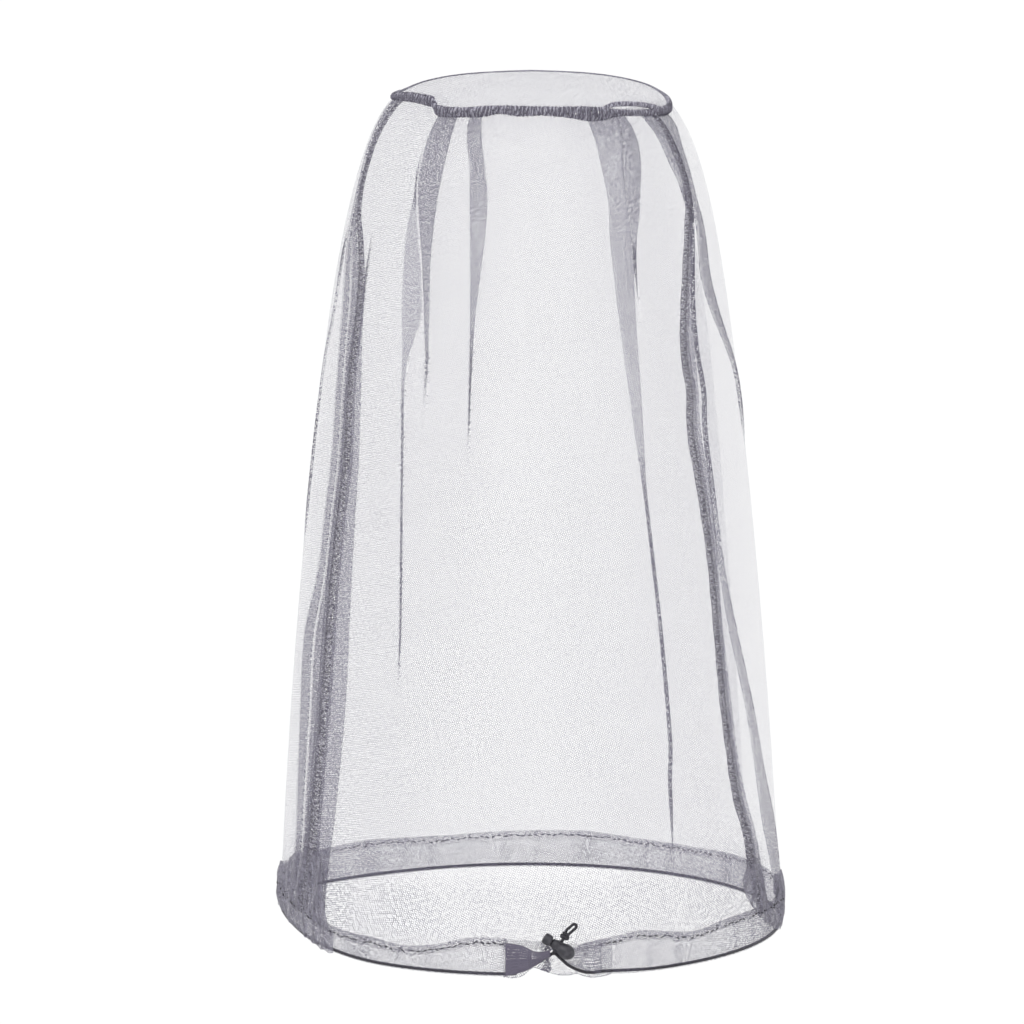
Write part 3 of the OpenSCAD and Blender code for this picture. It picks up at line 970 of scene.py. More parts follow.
# every fold: rows of depth, left angle, right angle, then how tight and how deep it is
frontFolds = [
    {"name": "beside the left seam", "tight": 0.2, "deep": 1.0, "fadeIn": 40, "fadeOut": 60,
     "line": [(112, -57.6, -56.9), (140, -57.6, -55), (163, -57.6, -53.2), (208, -56.4, -51.3),
              (221, -56.8, -51.3), (286, -58.6, -51.1), (339, -59.2, -50.8), (407, -60.6, -52.9),
              (435, -60.8, -54.3), (470, -62, -54)]},
    {"name": "left pleat, outer strip", "tight": 0.08, "deep": 0.7, "fadeIn": 20, "fadeOut": 40,
     "line": [(50, -42.4, -42), (57, -41.7, -41.2), (66, -42.2, -39.9), (78, -42.9, -38.2),
              (94, -42.4, -35.9), (111, -41.7, -34.1), (126, -40.9, -33.4), (144, -39.5, -36.6),
              (160, -38.7, -37.5), (198, -36.9, -36.1), (252, -35.1, -34.4), (296, -33.9, -33.4)]},
    {"name": "left pleat", "tight": 0.27, "deep": 1.2, "fadeIn": 30, "fadeOut": 30,
     "line": [(15, -44.4, -31.2), (29, -43.7, -30.7), (45, -42.1, -31.2), (57, -40.9, -31.8),
              (73, -38.6, -32), (93, -35.7, -32), (118, -33.2, -30.8), (132, -32.2, -30.4),
              (146, -30.8, -29.9)]},
    {"name": "middle pleat", "tight": 0.27, "deep": 1.0, "fadeIn": 30, "fadeOut": 25,
     "line": [(15, -26.3, -20.4), (28, -24.4, -18.2), (40, -21.9, -16.1), (57, -20.6, -14.2),
              (75, -19.5, -14), (93, -18.6, -14.7), (112, -18, -15.6), (130, -17.5, -16.2),
              (155, -17.1, -16.5), (173, -16.9, -16.6)]},
    {"name": "right pleat, outer part", "tight": 0.2, "deep": 1.2, "fadeIn": 30, "fadeOut": 40,
     "line": [(15, 23.6, 37.0), (26, 24.2, 35.6), (36, 24.6, 33.6), (46, 25, 32.6), (61, 25.6, 32.3),
              (76, 24.8, 32.2), (94, 25, 31.8), (126, 25.9, 31.0), (158, 27.3, 30.9), (191, 28.8, 30.8),
              (215, 30.1, 30.7), (246, 31.3, 31.8), (305, 33.4, 33.9), (363, 34.7, 35.2),
              (370, 34.9, 35.4), (376, 33.9, 34.4), (390, 34.1, 34.5)]},
    {"name": "right pleat, inner part", "tight": 0.28, "deep": 1.0, "fadeIn": 30, "fadeOut": 25,
     "line": [(15, 37.4, 41.5), (26, 35.9, 42.2), (36, 34, 41.5), (42, 33.1, 40.9), (52, 32.5, 38.9),
              (69, 32.7, 36.4), (83, 32.6, 33.8), (94, 32.2, 32.8)]},
    {"name": "right shoulder", "tight": 0.34, "deep": 1.2, "fadeIn": 30, "fadeOut": 16,
     "line": [(15, 52.2, 59.8), (21, 53.2, 59.6), (27, 54.6, 59.6), (37, 55.4, 59.8), (44, 56.2, 60.2),
              (52, 58, 60.2), (60, 58.4, 59.4)]},
]
backFolds = [
    {"name": "beside the right seam", "tight": 0.2, "deep": 0.8, "fadeIn": 30, "fadeOut": 60,
     "line": [(15, 62.6, 63.1), (60, 61.6, 62.2), (82, 57.3, 58.4), (118, 51.9, 53.4), (145, 49.5, 52),
              (168, 50.2, 52.1), (190, 49.2, 51.2), (222, 50.8, 53.2), (252, 52.3, 54.2),
              (296, 52.9, 54.2), (334, 53.6, 55.7), (371, 55.2, 57.2), (398, 57.2, 59.8),
              (409, 59.4, 62.2), (424, 61.4, 65.4), (445, 62.6, 67), (470, 67, 71)]},
    {"name": "right lower fold", "tight": 0.28, "deep": 1.2, "fadeIn": 30, "fadeOut": 60,
     "line": [(15, 63.3, 63.4), (60, 62.4, 62.5), (82, 58.7, 58.9), (120, 54, 54.4), (150, 53.2, 53.8),
              (170, 54.4, 55.2), (187, 53, 53.8), (219, 53.9, 54.8), (267, 55.4, 56.9), (305, 58.3, 61),
              (344, 63.2, 66.2), (391, 68, 74), (411, 70.1, 79), (427, 72.7, 82), (444, 76.5, 84),
              (470, 79, 86)]},
    {"name": "right shoulder fold", "tight": 0.4, "deep": 1.2, "fadeIn": 30, "fadeOut": 25,
     "line": [(15, 64, 78), (22, 64, 75), (30, 64, 69.6), (40, 63.4, 67.8), (50, 63, 67),
              (63, 62.9, 65.9), (78, 62.8, 67.1), (104, 60, 65), (120, 61.8, 66.4), (135, 65.9, 69),
              (151, 71.3, 73.3), (164, 75.8, 77.2), (185, 81, 82)]},
    {"name": "outer left fold", "tight": 0.2, "deep": 0.8, "fadeIn": 20, "fadeOut": 30, "turned": 360,
     "line": [(100, -81, -80.3), (112, -80.6, -79.4), (128, -79.9, -78.6), (141, -81, -79.4),
              (152, -84.5, -83), (190, -85.5, -84.6), (240, -85, -84.2)]},
    {"name": "left band, outer part", "tight": 0.24, "deep": 1.4, "fadeIn": 30, "fadeOut": 60, "turned": 360,
     "line": [(15, -82, -76), (26, -79.4, -75.4), (43, -79.8, -76), (59, -77.4, -74.4),
              (76, -77.8, -73.5), (93, -75.6, -69.5), (109, -72.6, -66.4), (125, -70.2, -64.8),
              (167, -68.1, -63.6), (212, -67, -62.2), (237, -68.1, -63.5), (275, -69.5, -64.6),
              (312, -75.4, -68.4), (348, -74.5, -67.4), (415, -71.8, -66.6), (431, -70.8, -66.2),
              (470, -76, -71)]},
    {"name": "left band", "tight": 0.3, "deep": 1.4, "fadeIn": 30, "fadeOut": 60, "turned": 360,
     "line": [(15, -75.8, -70), (26, -75.2, -70.6), (43, -75.8, -71.8), (59, -74.2, -71.2),
              (76, -73.3, -68.8), (93, -69.3, -64.2), (109, -66.2, -60.8), (125, -64.6, -59.4),
              (167, -63.4, -59.4), (212, -62, -58), (237, -63.3, -59.2), (275, -64.4, -60.4),
              (312, -68.2, -60.6), (348, -67.2, -60.6), (415, -66.4, -62.4), (431, -66, -62.6),
              (470, -70.8, -67)]},
]


def foldStrength(fold, depth):
    first, last = fold["line"][0][0], fold["line"][-1][0]
    comesIn = smooth((depth - first + fold["fadeIn"]) / fold["fadeIn"]) if first > 20 else 1.0
    return comesIn * smooth((last + fold["fadeOut"] - depth) / fold["fadeOut"])


def netGather(angle, depth):
    # how tight the net lies away from its folds; its right side is left thinner and paler as painted light
    angle = frontAngle(angle)
    settings = panelSettings
    underCrown = settings["underCrown"] * smooth((34 - depth) / 20)
    lowFront = settings["lowFront"] * smooth((depth - 414) / 26) * smooth((78 - abs(angle)) / 16)
    corners = settings["corners"] * smooth((depth - 425) / 30) * (bump(angle, -75, 16) + bump(angle, 73, 12))
    # painted light: the plain share falls to nothing from about 44 to 110 degrees, so the right side is thinner
    # and paler as if lit from the right
    plain = settings["plain"] * (1 - smooth((angle - 44) / 24)) + settings["plain"] * smooth((angle - 110) / 30)
    return min(1.0, plain + underCrown + lowFront + corners)


def makePanel(name, folds, startLine, endLine, turn, endTurned, plainStep):
    print("panel", name)
    rows, growth = panelSettings["rows"], panelSettings["rowGrowth"]
    stations = panelSettings["fold"]
    depths = [netTop + (hemTop + 3 - netTop) * (i / rows) ** growth for i in range(rows + 1)]

    def edgesAt(depth):
        edges = [valueAlong(startLine, depth)[0]]
        for fold in folds:
            shift = fold.get("turned", 0)
            edges += [angle + shift for angle in valueAlong(fold["line"], depth)]
        edges.append(valueAlong(endLine, depth)[0] + endTurned)
        for k in range(1, len(edges)):
            edges[k] = max(edges[k], edges[k - 1] + panelSettings["leastGap"])
        return edges

    # the same number of columns at every depth, from the widest place of each plain stretch
    tables = [edgesAt(depth) for depth in depths]
    plain = []
    for k in range(0, len(tables[0]), 2):
        widest = max(edges[k + 1] - edges[k] for edges in tables)
        plain.append(max(2, int(widest / plainStep)))

    grid, gather, layers = [], [], []
    for depth, edges in zip(depths, tables):
        row, tight, layer = [], [], []
        # narrow strips between two folds are doubled too
        between = [0.0] * len(plain)
        for k in range(1, len(folds)):
            both = [fold["tight"] * foldStrength(fold, depth) for fold in folds[k - 1:k + 1]]
            between[k] = 1.5 * min(both) * smooth((1.6 - (edges[2 * k + 1] - edges[2 * k])) / 0.8)
        for k, count in enumerate(plain):
            left, right = edges[2 * k], edges[2 * k + 1]
            for j in range(1 if k else 0, count if k < len(plain) - 1 else count + 1):
                angle = left + (right - left) * j / count
                row.append(onVeil(angle, depth))
                tight.append(min(1.0, netGather(angle, depth) + between[k]))
                layer.append((angle, 0, 0.0))
            if k < len(folds):
                fold = folds[k]
                strength = foldStrength(fold, depth)
                left, right = edges[2 * k + 1], edges[2 * k + 2]
                width = math.radians(right - left) * veilRadius(depth)
                crease = panelSettings["crease"] * smooth((2.6 - width) / 1.4) * strength
                for across, out, tightness in stations:
                    zigzag = across if across <= 1 else 2 - across if across <= 2 else across - 2
                    share = zigzag * strength + across / 3 * (1 - strength)
                    angle = left + (right - left) * share
                    row.append(onVeil(angle, depth, out * fold["deep"] * strength))
                    inside = fold["tight"] * tightness * strength + (crease if tightness else 0.0)
                    inside += between[k] if across == 0 else between[k + 1] if across == 3 else 0.0
                    tight.append(min(1.0, netGather(angle, depth) + inside))
                    layer.append((angle, min(2, int(across)), strength))
        grid.append(row)
        gather.append(tight)
        layers.append(layer)

    turn = math.radians(turn)

    def flat(i, j, first):
        after = min(first + 1, len(layers[i]) - 1)
        side, shift, lift, lean = panelSettings["layers"][layers[i][after][1]]
        folded = layers[i][after][2]
        down = depths[i] * mm
        across = math.radians(layers[i][j % len(layers[i])][0]) * panelSettings["mapRadius"]
        across += (across * (side - 1) + shift + lean * down) * folded
        down += lift * folded
        return turnedMap(across, down, turn)

    panel = clothMesh(name, grid, flat, gather)
    addStack(panel, rounder(), wall(panelSettings["thickness"]))
    applyStack(panel)
    panel.data.materials.append(panelNet)
    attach(panel, "root")
    squashToHem(panel)
    return panel


def squashToHem(piece):
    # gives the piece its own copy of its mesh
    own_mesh(piece)


def makePanels():
    turn, step = panelSettings["netTurn"], panelSettings["plainStep"]
    front = makePanel("frontPanel", frontFolds, leftSeamLine, rightSeamLine, turn, 0, step)
    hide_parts("front_net")
    back = makePanel("backPanel", backFolds, rightSeamLine, leftSeamLine, 90 - turn, 360, step)
    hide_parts("back_net")
    return front, back


seamSettings = {
    # depth, width of the sewn edge
    "rightWidth": [(15, 4.4), (52, 3.6), (80, 3.0), (118, 4.0), (190, 4.6), (300, 4.8), (370, 5.2),
                   (404, 6.4), (425, 8.2), (445, 8.6), (470, 9)],
    "leftWidth": [(15, 4.6), (60, 4.4), (120, 5.2), (180, 6.4), (240, 7.4), (330, 8.2), (410, 9.0),
                  (440, 9.6), (470, 10)],
    "rowStep": 1.5,
    "across": [-1.0, -0.72, -0.3, 0.1, 0.5, 0.84, 1.0],
    "lift": [0.3, 0.9, 1.5, 1.7, 1.5, 1.0, 0.4],
    "mapAcross": 0.0026,
    "thickness": 0.4,
    "stitchPitch": 2.7,
    "threadRadius": 0.16,
    # one overlock stitch: depth, share of the half width, how far out
    "stitchShape": [(0, -1, 0.9), (0.9, 0, 2.1), (1.6, 1, 1.0), (2.2, 0.2, 2.0)],
    "allowanceStep": 4,
    "allowanceAcross": [0, 0.1, 0.3, 0.5, 0.7, 0.9, 1],
    # depth, left edge and right edge of the turned net from the seam's line, how tight
    "leftAllowance": [(15, -2.4, 2.6, 0.1), (90, -3, 3, 0.12), (150, -5.4, 5, 0.16),
                      (240, -7.5, 6.5, 0.16), (360, -8, 7, 0.18), (470, -8, 7, 0.3)],
    "rightAllowance": [(15, -2.6, 2.8, 0.1), (90, -2.2, 3.6, 0.12), (170, -2.6, 5, 0.12),
                       (300, -2.8, 5.6, 0.14), (400, -3.6, 6.4, 0.2), (470, -4, 8, 0.3)],
}


def acrossSeam(line, depth, offset, out):
    # a point beside the seam's own line, offset along the net
    angle = valueAlong(line, depth)[0]
    return onVeil(angle + math.degrees(offset / veilRadius(depth)), depth, out)


def makeSideSeam(side, line, widths, seed):
    print("side seam", side)
    chance = random.Random(seed)
    step = seamSettings["rowStep"]
    depths = [netTop - 1 + step * i for i in range(int((hemTop + 4 - netTop) / step))]
    grid = []
    for i, depth in enumerate(depths):
        half = valueAlong(widths, depth)[0] / 2
        saw = 0.36 if i % 2 else -0.1
        row = []
        for k, (across, lift) in enumerate(zip(seamSettings["across"], seamSettings["lift"])):
            edge = 1.0 if k in (0, len(seamSettings["across"]) - 1) else 0.25
            offset = across * half + (across * saw + chance.uniform(-0.22, 0.22)) * edge
            row.append(acrossSeam(line, depth, offset, lift + chance.uniform(-0.14, 0.14)))
        grid.append(row)
    steps = seamSettings["across"]
    wide = seamSettings["mapAcross"]
    seam = clothMesh(side + "Seam", grid, lambda i, j, first: (depths[i] * mm, steps[j] * wide))
    addStack(seam, rounder(), wall(seamSettings["thickness"]))
    applyStack(seam)
    seam.data.materials.append(sideSeamCloth)
    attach(seam, "root")
    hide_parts(side + "_side_seam")
    squashToHem(seam)

    path = []
    depth = netTop + 1
    while depth < hemTop:
        half = valueAlong(widths, depth)[0] / 2 + 0.15
        half += chance.uniform(-0.2, 0.2)
        path += [acrossSeam(line, depth + down, share * half, out)
                 for down, share, out in seamSettings["stitchShape"]]
        depth += seamSettings["stitchPitch"] + chance.uniform(-0.25, 0.25)
    thread = tubeMesh(side + "Overlock", path, seamSettings["threadRadius"] * mm, sides=5)
    thread.data.materials.append(sewingThread)
    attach(thread, "root")
    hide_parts(side + "_overlock_thread")
    squashToHem(thread)
    return seam


def makeAllowance(side, line, edges):
    # the turned net under the seam, three layers of it
    spacing, steps = seamSettings["allowanceStep"], seamSettings["allowanceAcross"]
    depths = [netTop + spacing * i for i in range(int((hemTop - netTop) / spacing) + 1)]
    grid, gather = [], []
    for i, depth in enumerate(depths):
        left, right, tight = valueAlong(edges, depth)
        wave = 0.35 * math.sin(depth * 0.31) + 0.25 * math.sin(depth * 0.83)
        grid.append([acrossSeam(line, depth, left + (right - left) * step + wave, 0.5)
                     for step in steps])
        gather.append([tight + (0.3 if step in (0, 1) else 0.0) for step in steps])
    strip = clothMesh(side + "SeamAllowance", grid,
                      lambda i, j, first: (steps[j] * 0.012, depths[i] * mm), gather)
    addStack(strip, rounder(), wall(0.25))
    applyStack(strip)
    strip.data.materials.append(hemNet)
    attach(strip, "root")
    squashToHem(strip)
    return strip


crownStitchSettings = {
    "from": -108.0,
    "to": 98,
    "pitch": 1.55,
    "threadRadius": 0.2,
}


def makeCrownStitches():
    # overlock stitches that wrap the gathered crown seam
    print("crown stitches")
    settings = crownStitchSettings
    chance = random.Random(5)
    path = []
    angle = settings["from"]
    while angle < settings["to"]:
        middle, half = crownSeamLine(angle)
        body = 0.35 + min(half, 3.2) / 3.2
        reach = crownRadius + 0.2 + crownSeamSettings["thickness"] * 0.72 * body * 1.15
        # one stitch: turn, how far out, share of the seam's half height
        stitch = [(0, crownRadius + 0.9, -1.0), (0.3, reach, -0.3), (0.7, reach, 0.45),
                  (1.0, crownRadius + 0.8, 1.0), (1.25, reach, 0.1)]
        path += [place(angle + turn, out, middle + share * half) for turn, out, share in stitch]
        angle += settings["pitch"] + chance.uniform(-0.12, 0.12)
    thread = tubeMesh("crownOverlock", path, settings["threadRadius"] * mm, sides=5)
    thread.data.materials.append(sewingThread)
    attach(thread, "root")
    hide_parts("crown_overlock_thread")


hemSettings = {
    # outer wall, fold round the cord, inner wall: out from the hem, share down to the cord
    "outside": [(0.35, -0.02), (0.75, 0.02), (0.95, 0.1), (0.7, 0.18), (0.6, 0.42), (0.75, 0.68),
                (1.0, 0.88)],
    # turn round the cord, distance from its middle
    "fold": [(40, 0.72), (5, 0.72), (-30, 0.8), (-62, 1.35), (-95, 1.6), (-130, 1.4), (-170, 1.1)],
    "inside": [(-0.9, 0.86), (-0.7, 0.6), (-0.6, 0.3), (-0.5, 0.1), (-0.3, 0.02)],
    "step": 1.15,
    "exit": (-5.4, 15.6),
    "stitchDrop": 2.6,
    "stitch": 2.5,
    "stitchGap": 1.1,
    "stitchSizes": (0.16, 0.42, 0.46, 0.42, 0.16),
    "netTurn": -14,
    "mapRadius": 0.141,
    "thickness": 0.25,
    # where the front and back hems meet, in degrees to each side of the front
    "seam": 57,
}


def hemWave(angle, share):
    # small puckers of the drawn hem, stronger in its bunched corners
    angle = frontAngle(angle)
    turn = math.radians(angle)
    corner = bump(angle, -76, 15) + bump(angle, 76, 12)
    small = (math.sin(41 * turn + 2.2 * share) + 0.7 * math.sin(67 * turn - 3 * share + 1)
             + 0.5 * math.sin(23 * turn))
    return (0.24 + 0.45 * corner) * small * (1 - 0.6 * share) + drape(angle, hemTop - 20) * 0.1


def hemPoint(angle, share, out):
    top, low = hemEdge(angle), cordDepth - hemLift(angle)
    return place(angle, hemRadius + out + hemWave(angle, share), top + (low - top) * share)


def hemFoldPoint(angle, turn, radius):
    low = cordDepth - hemLift(angle)
    turn = math.radians(turn)
    return place(angle, hemRadius + radius * math.cos(turn), low - radius * math.sin(turn))


def makeHemStrip(name, first, last, cloth):
    count = max(4, int((last - first) / hemSettings["step"]))
    angles = [first + (last - first) * j / count for j in range(count + 1)]
    profiles, gather = [], []
    for angle in angles:
        column = [hemPoint(angle, share, out) for out, share in hemSettings["outside"]]
        column += [hemFoldPoint(angle, turn, radius) for turn, radius in hemSettings["fold"]]
        column += [hemPoint(angle, share, out) for out, share in hemSettings["inside"]]
        profiles.append(column)
        near = frontAngle(angle)
        corner = 0.12 * smooth((abs(near) - 54) / 14) * smooth((104 - abs(near)) / 16)
        edge = len(hemSettings["outside"])
        tuck = 0.2 * smooth(math.sin(math.radians(near) * 31 + 2 * math.sin(near * 0.21)) - 0.3)
        gather.append([min(1.0, (0.16 if k < 2 else 0.0) + corner + tuck) for k in range(edge)]
                      + [corner] * (len(column) - edge))
    grid = [list(row) for row in zip(*profiles)]
    gather = [list(row) for row in zip(*gather)]
    ups = [0.0]
    for k in range(1, len(grid)):
        ups.append(ups[-1] + (grid[k][0] - grid[k - 1][0]).length)
    turn = math.radians(hemSettings["netTurn"])

    def flat(i, j, start):
        return turnedMap(math.radians(angles[j % len(angles)]) * hemSettings["mapRadius"], ups[i], turn)

    strip = clothMesh(name, grid, flat, gather)
    addStack(strip, rounder(), wall(hemSettings["thickness"]))
    strip.data.materials.append(cloth)
    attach(strip, "hem")
    return strip


def makeStitches(name, first, last, seed):
    # running stitch: a thread that dips in and out of the hem, drawn as short rounded stitches
    chance = random.Random(seed)
    verts, faces = [], []
    angle = first
    while angle < last:
        length = math.degrees(hemSettings["stitch"] / hemRadius) * chance.uniform(0.85, 1.1)
        out = 1.7 if chance.random() < 0.9 else -1.05
        start = len(verts)
        for k, size in enumerate(hemSettings["stitchSizes"]):
            at = angle + length * k / 4
            top, low = hemEdge(at), cordDepth - hemLift(at)
            depth = top + hemSettings["stitchDrop"] + 0.4 * math.sin(at * 1.7) + 0.25 * math.sin(at * 5.3)
            share = (depth - top) / (low - top)
            for side, rise in ((0, -1), (1, 0), (0, 1), (-1, 0)):
                reach = hemRadius + out + hemWave(at, share) + size * side
                verts.append(place(at, reach, depth + size * rise))
        for k in range(4):
            for q in range(4):
                a, b = start + 4 * k + q, start + 4 * k + (q + 1) % 4
                faces.append((a, b, b + 4, a + 4))
        faces.append(tuple(start + q for q in (3, 2, 1, 0)))
        faces.append(tuple(start + 16 + q for q in range(4)))
        angle += length + math.degrees(hemSettings["stitchGap"] / hemRadius) * chance.uniform(0.7, 1.2)
    mesh = bpy.data.meshes.new(name)
    mesh.from_pydata(verts, [], faces)
    layer = mesh.uv_layers.new(name="cloth")
    for loop in mesh.loops:
        index = loop.vertex_index
        layer.data[loop.index].uv = (index % 4 / 4, (index // 4) * 0.0005)
    for face in mesh.polygons:
        face.use_smooth = True
    turnOutwards(mesh)
    piece = bpy.data.objects.new(name, mesh)
    bpy.context.scene.collection.objects.link(piece)
    piece.data.materials.append(hemThread)
    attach(piece, "hem")
    return piece


cornerSettings = {
    # bunched cloth at the seams: angle, top depth, bottom depth
    "left": [(-106, 463, 468), (-98, 453, 471), (-90, 448, 472), (-82, 444, 470), (-76, 440, 470.5),
             (-71, 434, 473), (-66, 430, 474), (-61, 428, 476.5), (-57.5, 430, 478.5),
             (-55.8, 440, 479.4), (-54.4, 455, 480), (-52.4, 464, 480.4), (-50.4, 469, 480.8)],
    "right": [(56.2, 441, 446), (57.4, 437, 451), (59, 432, 456), (61, 430, 460), (63.5, 433, 465.5),
              (66, 440, 469), (67.4, 455, 471), (69, 462, 473), (74, 464, 478), (77.5, 461, 480),
              (80.5, 455, 481.2), (85, 451, 481), (90, 453, 480), (96, 457, 478), (103, 463, 473)],
    "rows": 14,
    "lift": 1.9,
    "step": 0.7,
    "thickness": 0.3,
    # the map's metres for each radian and each row
    "mapTurn": 0.3,
    "mapRow": 0.0035,
}


def makeCorner(name, line, seed):
    print("bunched corner", name)
    chance = random.Random(seed)
    phase = chance.uniform(0, 6)
    first, last = line[0][0], line[-1][0]
    count = int((last - first) / cornerSettings["step"])
    angles = [first + (last - first) * j / count for j in range(count + 1)]
    rows = cornerSettings["rows"]
    grid, gather = [], []
    for i in range(rows + 1):
        share = i / rows
        row, tight = [], []
        for j, angle in enumerate(angles):
            top, bottom = valueAlong(line, angle)
            depth = top + (bottom - top) * share
            tuck = math.sin(math.radians(angle) * 88 + 3 * share + phase)
            tuck += 0.6 * math.sin(math.radians(angle) * 151 - 5 * share)
            rim = min(1.0, 0.35 + 3 * min(share, 1 - share), 0.35 + min(j, count - j) / 5)
            out = cornerSettings["lift"] + 0.75 * tuck * rim
            if depth < hemTop:
                base = veilRadius(depth) + drape(angle, depth)
            else:
                base = hemRadius + hemWave(angle, share)
            ragged = 0.7 * math.sin(angle * 1.9 + phase) * (1 if i in (0, rows) else 0)
            row.append(place(angle, base + out - 1.2 * (1 - rim), depth + ragged))
            tight.append(min(1.0, max(0.0, 0.5 + 0.3 * tuck / 1.6 + chance.uniform(-0.5, 0.4))))
        grid.append(row)
        gather.append(tight)
    aroundMap, rowMap = cornerSettings["mapTurn"], cornerSettings["mapRow"]
    corner = clothMesh(name, grid,
                       lambda i, j, start: (math.radians(angles[j]) * aroundMap, i * rowMap), gather)
    addStack(corner, rounder(), wall(cornerSettings["thickness"]))
    corner.data.materials.append(bunchedNet)
    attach(corner, "hem")
    return corner


exitSettings = {
    # x, distance in front of the hem's radius, top depth, bottom depth
    "facing": [(-14.2, 1.3, 462.6, 481.2), (-11.5, 1.5, 462.9, 480.6), (-8.5, 1.8, 463.1, 479.9),
               (-5.5, 2.2, 463.6, 478.9), (-2.5, 2.9, 464.8, 477.6), (0, 3.5, 466.0, 476)],
    "leftMouth": [(-1.6, 3.1, 465.4, 477), (1, 3.8, 466.4, 475.3), (3.5, 4.6, 466.8, 473.4),
                  (6, 5.6, 466.4, 471.6), (8.4, 6.4, 465.8, 469.9), (10.2, 6.9, 465.4, 469.2)],
    "rightMouth": [(38.2, -4.3, 461.4, 481.4), (35, -2.9, 461.9, 481.1), (31, -0.9, 462.5, 480.5),
                   (27, 0.6, 463.5, 479.4), (23.5, 1.0, 464.9, 477.8), (20, 1.3, 466.6, 475.6),
                   (17, 1.5, 468, 473)],
    # the inner layer behind: angle, bottom depth, how doubled
    "flap": [(-6.4, 482.6, 0.1), (-4, 483.1, 0.1), (-2, 481.8, 0.1), (-0.4, 478.6, 0.1),
             (0.8, 477.0, 0.2), (2.2, 478.4, 0.4), (3.0, 479.2, 0.95), (4.1, 480.1, 0.95),
             (4.5, 480.4, 0.2), (6, 481.4, 0.15), (8.2, 481.9, 0.1), (10.2, 481.0, 0.1),
             (11.6, 482.4, 0.1), (13.6, 483.6, 0.1), (16, 483.4, 0.1), (18.6, 481.9, 0.1)],
    "puckers": 5,
    "puckerDepth": 0.05,
    "sections": 26,
    "sides": 18,
    "flapRows": 9,
    "flapStep": 0.42,
    "thickness": 0.25,
}


def makeSleeve(name, table, flatness, tightness, cloth):
    # a flattened sleeve of the casing that draws in towards the lock, puckered along its length
    chance = random.Random(len(table))
    sections, sides = exitSettings["sections"], exitSettings["sides"]
    stations = [(float(k), *row) for k, row in enumerate(table)]
    grid, gather = [], []
    for i in range(sections + 1):
        x, out, top, bottom = valueAlong(stations, i / sections * (len(table) - 1))
        half, middle = (bottom - top) / 2, (top + bottom) / 2
        row, tight = [], []
        for k in range(sides):
            turn = 2 * math.pi * k / sides
            wave = math.sin(turn * exitSettings["puckers"] + 5 * i / sections)
            thick = flatness + exitSettings["puckerDepth"] * wave * smooth(i / sections * 2)
            reach = half + 0.25 * math.sin(3.1 * i + 1.0)
            y = -(hemRadius + out) - thick * math.cos(turn)
            row.append(Vector((x, y, -(middle + reach * math.sin(turn)))) * mm)
            tight.append(min(1.0, tightness * (0.9 + 0.15 * chance.random())))
        grid.append(row)
        gather.append(tight)
    sleeve = clothMesh(name, grid, lambda i, j, first: (0.0011 * i, 0.0016 * j), gather, closed=True)
    turnOutwards(sleeve.data)
    addStack(sleeve, rounder(), wall(exitSettings["thickness"]))
    sleeve.data.materials.append(cloth)
    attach(sleeve, "hem")
    return sleeve


def makeFlap():
    # the hem's inner layer, which hangs a little lower than the cord where the outer one is open
    print("inner flap")
    rows, step, table = exitSettings["flapRows"], exitSettings["flapStep"], exitSettings["flap"]
    first, last = table[0][0], table[-1][0]
    angles = [first + step * j for j in range(int((last - first) / step) + 1)]
    grid, gather = [], []
    for i in range(rows + 1):
        row, tight = [], []
        for angle in angles:
            bottom, doubled = valueAlong(table, angle)
            top = hemEdge(angle) + 0.4
            row.append(place(angle, hemRadius - 1.2 + 0.25 * math.sin(angle * 1.7 + i * 0.5),
                             top + (bottom - top) * i / rows))
            tight.append(min(1.0, max(0.0, doubled) + (0.3 if i == rows else 0.0)))
        grid.append(row)
        gather.append(tight)
    flap = clothMesh("hemFlap", grid,
                     lambda i, j, start: (math.radians(angles[j]) * hemSettings["mapRadius"], i * 0.002),
                     gather)
    addStack(flap, rounder(), wall(exitSettings["thickness"]))
    flap.data.materials.append(hemNet)
    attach(flap, "hem")
    return flap


lockAt = Vector((14.5, -148.0, -463.2)) * mm
lockTilt = math.radians(34)
towardsHead = Vector((-math.cos(lockTilt), 0, math.sin(lockTilt)))
towardsKnot = Vector((math.sin(lockTilt), 0, math.cos(lockTilt)))


def lockPoint(up, side, head):
    # a point by the lock: along the strands, sideways, along the barrel
    return lockAt + (towardsKnot * up + Vector((0, side, 0)) + towardsHead * head) * mm


cordSettings = {
    "diameter": 1.8,
    "entry": -4.6,
    "apart": 0.95,
    # x, distance in front of the hem's radius, height above the channel
    "leftEnd": [(10.1, 6, 12), (7.4, 5.4, 10.1), (4.7, 4.4, 8.2), (1.9, 3.5, 6.3), (-3, 2.1, 3.4),
                (-7.4, 1.1, 1.5)],
    "rightEnd": [(34.3, -2.8, 0.3), (30.3, -0.4, 0.9), (27, 1.6, 2.1), (23.7, 3.8, 3.9),
                 (19.9, 5.7, 6.5), (17.2, 6.7, 9.1), (15, 7, 11.2), (13.2, 6.6, 12.8)],
    "ringSteps": 30,
    "ringExit": (-5.2, 16.4),
    # distances in front of the hem between which it bends from hem to lock
    "bends": (1.2, 6.4),
}


def fromRoute(rows):
    return [Vector((x, -hemRadius - out, -(cordDepth - up))) * mm for x, out, up in rows]


